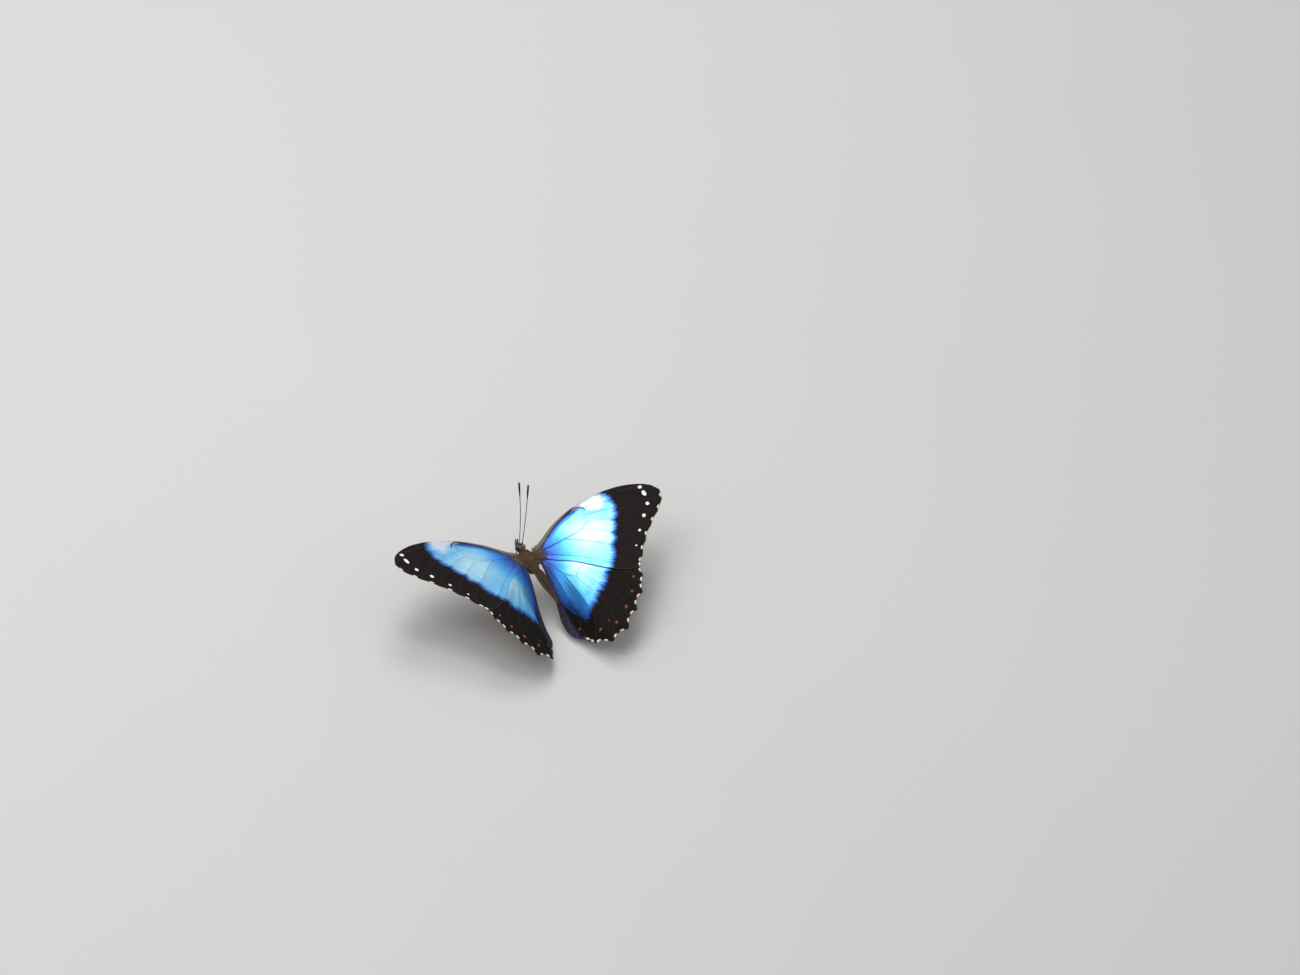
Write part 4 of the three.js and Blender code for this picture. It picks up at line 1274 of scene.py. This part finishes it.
def walking_leg(leg, seed):
    """One leg of the left side: points, faces, tints, and where and how its hair grows."""
    hip, knee, heel, ball, toe = (np.array([out, ROOT_Y - forward, up]) for out, forward, up in leg)
    run = np.vstack([np.linspace(heel, ball, 20)[:-1], np.linspace(ball, toe, 20)])
    run[:, 2] = np.maximum(run[:, 2], 0.165)
    r = np.random.default_rng(seed)
    joints, joint_shades = leg_joints(hip, knee, heel, run)
    spurs, spur_shades = leg_spurs(knee, heel, toe, unit(toe - ball), run, r)
    shapes, shades = joints + spurs, joint_shades + spur_shades
    verts, faces, _, angle = join_shapes(shapes)
    verts[:, 2] = np.maximum(verts[:, 2], 0.0)
    tint = np.vstack([np.tile(mix(DARK_HORN, PALE_HORN, s), (len(v[0]), 1)) for v, s in zip(shapes, shades)])
    under = smooth((0.5 - np.abs(angle - 0.5)) * 2)[:, None]
    found = [limb_scatter(q, 16 if k < 4 else 12, LEG_TUFTS[k], r) for k, q in enumerate(joints)]
    roots, way, normal = (np.vstack([f[k] for f in found]) for k in range(3))
    place = np.vstack([f[3] * [0.10, 0.96] + [0.005 + 0.11 * k, 0.02] for k, f in enumerate(found)])
    size = np.repeat(LEG_HAIR, LEG_TUFTS)
    shade = np.repeat(joint_shades, LEG_TUFTS)[:, None]
    # no hair between the foot and the floor
    clear = (roots[:, 2] > 1.0) | (normal[:, 2] > -0.2)
    hair = [q[clear] for q in (roots, way, normal, size, mix(DARK_HORN * 1.6, PALE_HORN * 1.1, shade), place)]
    return verts, faces, mix(tint, PALE_HORN, 0.35 * under), hair


def foreleg_tint(angle):
    return np.tile([0.075, 0.052, 0.036], (len(angle), 1))


def add_forelegs():
    """The two short forelegs, folded under the head like brushes."""
    n, sides = 100, 16
    axis = body_point(*spline([[1.0, 2.9, -5.1], [1.15, 3.4, -5.30], [1.35, 4.4, -5.1], [1.4, 5.1, -4.0],
                               [1.15, 4.55, -3.55]], n).T)
    x = np.linspace(0, 1, n)
    radius = 0.16 + 0.14 * np.sin(np.pi * x**0.8)
    radius = radius * (1 - 0.3 * bell(x, 0.5, 0.02) - 0.25 * bell(x, 0.8, 0.02))
    pick = np.random.default_rng(SEED + 70).choice(np.arange(10 * sides, n * sides), 320, replace=False)
    add_hairy_pair("foreleg_brush", "foreleg_hair", "foreleg", "limb", axis, radius, sides, foreleg_tint,
                   pick, 1.3, (0.45, 0.05, 0.45), 141, 0.03)


def add_legs():
    for name, leg, seed in (("midleg", MIDLEG, 201), ("hindleg", HINDLEG, 211)):
        verts, faces, tint, (roots, way, normal, size, hair_tint, place) = walking_leg(leg, seed)
        faces = facing_out(verts, faces)
        for side, flip in SIDES:
            v, f = mirrored(verts, faces, flip)
            keep(build(f"{name}_jointed_{side}", v, f, [LIMB], colour=tint), [f"{name}_{side}"])
            coat(f"{name}_hair_{side}", roots, way, normal, size, 0.036, 0.26, hair_tint, place,
                 FINE_COAT, seed + 3, slot="limb", flip=flip, per=3, spread=0.03)
    add_forelegs()


# ---------------------------------------------------------------- wing roots, hair and fringe
# The two plates that carry a forewing and a hindwing, at the thorax and at the wing:
# out, forward, height, half length, half depth
HINGES = (([1.9, 0.0, -0.55, 1.75, 0.75], [4.7, 0.15, 0.02, 1.35, 0.10]),
          ([1.9, -3.0, -1.35, 1.6, 0.60], [4.4, -2.5, -1.10, 1.35, 0.10]))
HINGE_MIDDLE = body_point(3.2, -1.4, -0.9)
HINGE_TUFTS = 760


def hinge_plate(inner, outer, x, a):
    """Point of a flattened lens at a share x of the way from thorax to wing and an angle a around it."""
    c = mix(np.array(inner), np.array(outer), (smooth(x) * 0.5 + x * 0.5)[..., None])
    ease = 0.25 + 0.75 * np.sqrt(np.clip(1 - (2 * x - 1) ** 4, 0, 1))
    forward = c[..., 1] + c[..., 3] * np.cos(a) * ease
    return body_point(c[..., 0], forward, c[..., 2] + c[..., 4] * np.sin(a) * ease)


def hinge_scatter(inner, outer, r):
    """Places for hair on one plate, most of them on top: points, the way out of it, unwrap."""
    x, a = r.uniform(0.02, 0.97, HINGE_TUFTS), r.uniform(-0.35, np.pi + 0.35, HINGE_TUFTS)
    a = np.where(r.uniform(0, 1, HINGE_TUFTS) < 0.25, -a, a)
    e = 0.01
    dx = hinge_plate(inner, outer, np.minimum(x + e, 1), a) - hinge_plate(inner, outer, x - e, a)
    da = hinge_plate(inner, outer, x, a + e) - hinge_plate(inner, outer, x, a - e)
    place = np.stack([np.mod(a / (2 * np.pi), 1) * 0.46 + 0.02, x * 0.96 + 0.02], axis=1)
    return hinge_plate(inner, outer, x, a), unit(np.cross(dx, da)), place


def add_hinges():
    """Hairy plates that carry each wing root out of the thorax."""
    n, sides = 26, 30
    around = np.linspace(0, 2 * np.pi, sides, endpoint=False)
    x, a = np.meshgrid(np.linspace(0, 1, n), around, indexing="ij")
    share, angle = np.append(x.ravel(), [0, 1]), np.append(np.tile(np.arange(sides) / sides, n), [0, 0])
    plates = [closed_grid(hinge_plate(*ends, x, a).reshape(-1, 3), n, sides) for ends in HINGES]
    verts, faces, share, angle = join_shapes([(*plate, share, angle) for plate in plates])
    faces = facing_out(verts, faces)
    tint = np.tile([0.115, 0.074, 0.038], (len(verts), 1))
    fields = {"round": angle, "far": share * 4}
    r = np.random.default_rng(SEED + 91)
    found = [hinge_scatter(*ends, r) for ends in HINGES]
    roots, normal = (np.vstack([f[k] for f in found]) for k in range(2))
    place = np.vstack([f[2] + [0.5 * k, 0] for k, f in enumerate(found)])
    normal = normal * np.sign(np.einsum("ij,ij->i", normal, roots - HINGE_MIDDLE))[:, None]
    way = unit(np.array([0.85, 0.42, 0.0]) + r.normal(0, 0.10, roots.shape))
    blot = noise2(roots[:, 0] * 1.4, roots[:, 1] * 1.4, SEED + 92)[:, None]
    hair_tint = rgb(0.245, 0.158, 0.078) * (1 + 0.2 * blot)
    for side, flip in SIDES:
        v, f = mirrored(verts, faces, flip)
        keep(build("wing_hinge_" + side, v, f, [SKIN], colour=tint, floats=fields), [])
        coat("hinge_hair_" + side, roots, way, normal, 1.35, 0.045, 0.22, hair_tint, place, COAT, 171,
             flip=flip)


def wing_ways(wing, s, t):
    """Up out of the wing, along it and across it."""
    e = 0.05
    ds = wing.space(s + e, t, 0) - wing.space(s - e, t, 0)
    dt = wing.space(s, t + e, 0) - wing.space(s, t - e, 0)
    up = unit(np.cross(ds, dt))
    return up * np.sign(up[..., 2:]), unit(ds), unit(dt)


def hair_place(wing, p):
    """Where hair at points p of the wing plane lies on the wing's unwrap."""
    u, v = np.meshgrid(np.linspace(0, 1, 40), np.linspace(0, 1, 40))
    return np.clip(unwrap(wing, p, wing.patch(u.ravel(), v.ravel())), 0.002, 0.998)


def wing_hair_tint(wing, t, far, shade):
    """Brown at the root, then blue; along the hindwing's inner fold a dull slate."""
    tint = mix(rgb(0.215, 0.145, 0.080), rgb(0.045, 0.075, 0.260), smooth((far - 2.3) / 2.6)[:, None])
    tint = tint * (1 + 0.3 * shade)
    if wing.is_fore:
        return tint
    return mix(tint, rgb(0.050, 0.052, 0.110) * (1 + 0.3 * shade), smooth((-t - 9) / 4)[:, None])


def add_wing_hair():
    """Fine hair over the wing roots and along the hindwing's folded inner edge."""
    tries = 60000
    r = np.random.default_rng(SEED + 80)
    for wing in (fore, hind):
        p = wing.patch(r.uniform(0, 1, tries) ** 0.9, r.uniform(0, 1, tries))
        s, t = p[:, 0], p[:, 1]
        want = bell(np.hypot(s, t), 0, 2.7)
        if not wing.is_fore:
            fold = smooth((0.3 - s) / 1.4) * smooth((-t - 2) / 3) * smooth((33 + t) / 6)
            want = np.maximum(want, 0.22 * fold)
        p = p[np.flatnonzero(r.uniform(0, 1, tries) < want)[:1150 if wing.is_fore else 1500]]
        s, t = p[:, 0], p[:, 1]
        far = np.hypot(s, t)
        normal, ds, dt = wing_ways(wing, s, t)
        root = wing.space(s, t, 0.10 + seam_rise(wing, p) * np.ones(len(s)))
        way = unit(ds * (s / np.maximum(far, 0.1))[:, None] + dt * (t / np.maximum(far, 0.1))[:, None])
        length = np.where(far < 4, 1.5, 1.1)
        tint = wing_hair_tint(wing, t, far, noise2(s * 0.5 + 3, t * 0.5, SEED + 5)[:, None])
        for side, flip in SIDES:
            coat(f"{wing.name}_hair_{side}", root, way, normal, length, 0.036, 0.10, tint,
                 hair_place(wing, p), COAT, 151, slot="wing", flip=flip, per=3, spread=0.14, wander=0.09)


def add_fringe():
    """Scales that overhang the outer edge: pale in the bays, dark at the vein ends."""
    for wing, n in ((fore, 430), (hind, 640)):
        v = np.linspace(0.004, 0.996, n)
        p = wing.patch(np.full(n, 0.998), v)
        out = unit(p - wing.patch(np.full(n, 0.985), v))
        s, t = p[:, 0], p[:, 1]
        normal, ds, dt = wing_ways(wing, s, t)
        root = wing.space(s, t, np.full(n, -0.03))
        way = unit(ds * out[:, :1] + dt * out[:, 1:])
        pale = smooth((spot_field(p, edge_dashes(wing, 1.15, 0.9)) + 0.05) / 0.3)[:, None]
        tint = mix(rgb(0.022, 0.015, 0.012), rgb(0.72, 0.68, 0.52), pale)
        for side, flip in SIDES:
            coat(f"{wing.name}_fringe_{side}", root, way, normal, 0.50, 0.15, 0.02, tint, hair_place(wing, p),
                 FINE_COAT, 161, slot="wing", flip=flip, per=2, spread=0.03, flat=0.25, wander=0.18)


add_skin()
add_body_coat()
add_eyes()
add_antennae()
add_palps()
add_proboscis()
add_legs()
add_hinges()
add_wing_hair()
add_fringe()

# ---------------------------------------------------------------- stage, lights and camera
def floor_material():
    m = Nodes("studio_floor")
    cloud = m.noise(m.place(), 3.0, 3.0)
    return m.finish(Base_Color=m.mix(cloud, (0.60, 0.595, 0.585), (0.63, 0.625, 0.61)), Roughness=0.9)


floor_mesh = bpy.data.meshes.new("floor")
floor_mesh.from_pydata([(-6, -6, 0), (6, -6, 0), (6, 6, 0), (-6, 6, 0)], [], [(0, 1, 2, 3)])
floor = bpy.data.objects.new("floor", floor_mesh)
floor.data.materials.append(floor_material())
bpy.context.scene.collection.objects.link(floor)

world = bpy.data.worlds.new("studio")
world.use_nodes = True
world.node_tree.nodes["Background"].inputs[0].default_value = (0.93, 0.96, 1.0, 1)
world.node_tree.nodes["Background"].inputs[1].default_value = 0.46
bpy.context.scene.world = world

heart = Vector((0.0, ROOT_Y * MM, ROOT_HEIGHT * MM))


def soft_light(name, way, distance, size, power, colour):
    data = bpy.data.lights.new(name, "AREA")
    data.shape, data.size, data.energy, data.color = "DISK", size, power, colour
    lamp = bpy.data.objects.new(name, data)
    lamp.location = heart + Vector(way).normalized() * distance
    lamp.rotation_euler = (heart - lamp.location).to_track_quat("-Z", "Y").to_euler()
    bpy.context.scene.collection.objects.link(lamp)


# A flat sheet in place of the right wings would mirror the key lamp to the camera, and one in place
# of the left wings the side lamp.
soft_light("key", (-0.178, -0.546, 0.819), 1.4, 0.6, 5.2, (1.0, 0.99, 0.965))
soft_light("top", (0.130, -0.250, 0.960), 1.4, 0.6, 5.0, (1.0, 0.99, 0.965))
soft_light("slope", (0.600, -0.040, 0.800), 1.4, 0.8, 5.2, (1.0, 0.99, 0.97))
soft_light("side", (-0.739, -0.546, 0.396), 1.4, 0.6, 0.5, (0.85, 0.60, 1.0))
soft_light("fill", (0.80, 0.35, 0.60), 1.8, 1.2, 1.2, (0.96, 0.98, 1.0))

# The camera looks from behind and above, over the animal's left wing, and is rolled with it.
RIGHT = Vector((-0.830, 0.520, 0.202)).normalized()
TOWARD = Vector((0.505, 0.546, 0.669))
TOWARD = (TOWARD - RIGHT * TOWARD.dot(RIGHT)).normalized()
ABOVE = TOWARD.cross(RIGHT)
FRAME_WIDTH = 0.5334           # what the picture spans at the model, in metres
DISTANCE = 3.0
target = heart + RIGHT * 0.0501 + ABOVE * 0.0279
camera = bpy.data.objects.new("camera", bpy.data.cameras.new("camera"))
camera.data.sensor_width = 36.0
camera.data.lens = 36.0 * DISTANCE / FRAME_WIDTH
camera.data.clip_start, camera.data.clip_end = 0.05, 30.0
camera.matrix_world = Matrix.Translation(target + TOWARD * DISTANCE) @ Matrix((
    (RIGHT.x, ABOVE.x, TOWARD.x), (RIGHT.y, ABOVE.y, TOWARD.y), (RIGHT.z, ABOVE.z, TOWARD.z))).to_4x4()
bpy.context.scene.collection.objects.link(camera)
bpy.context.scene.camera = camera
bpy.context.scene.view_settings.view_transform = "Standard"
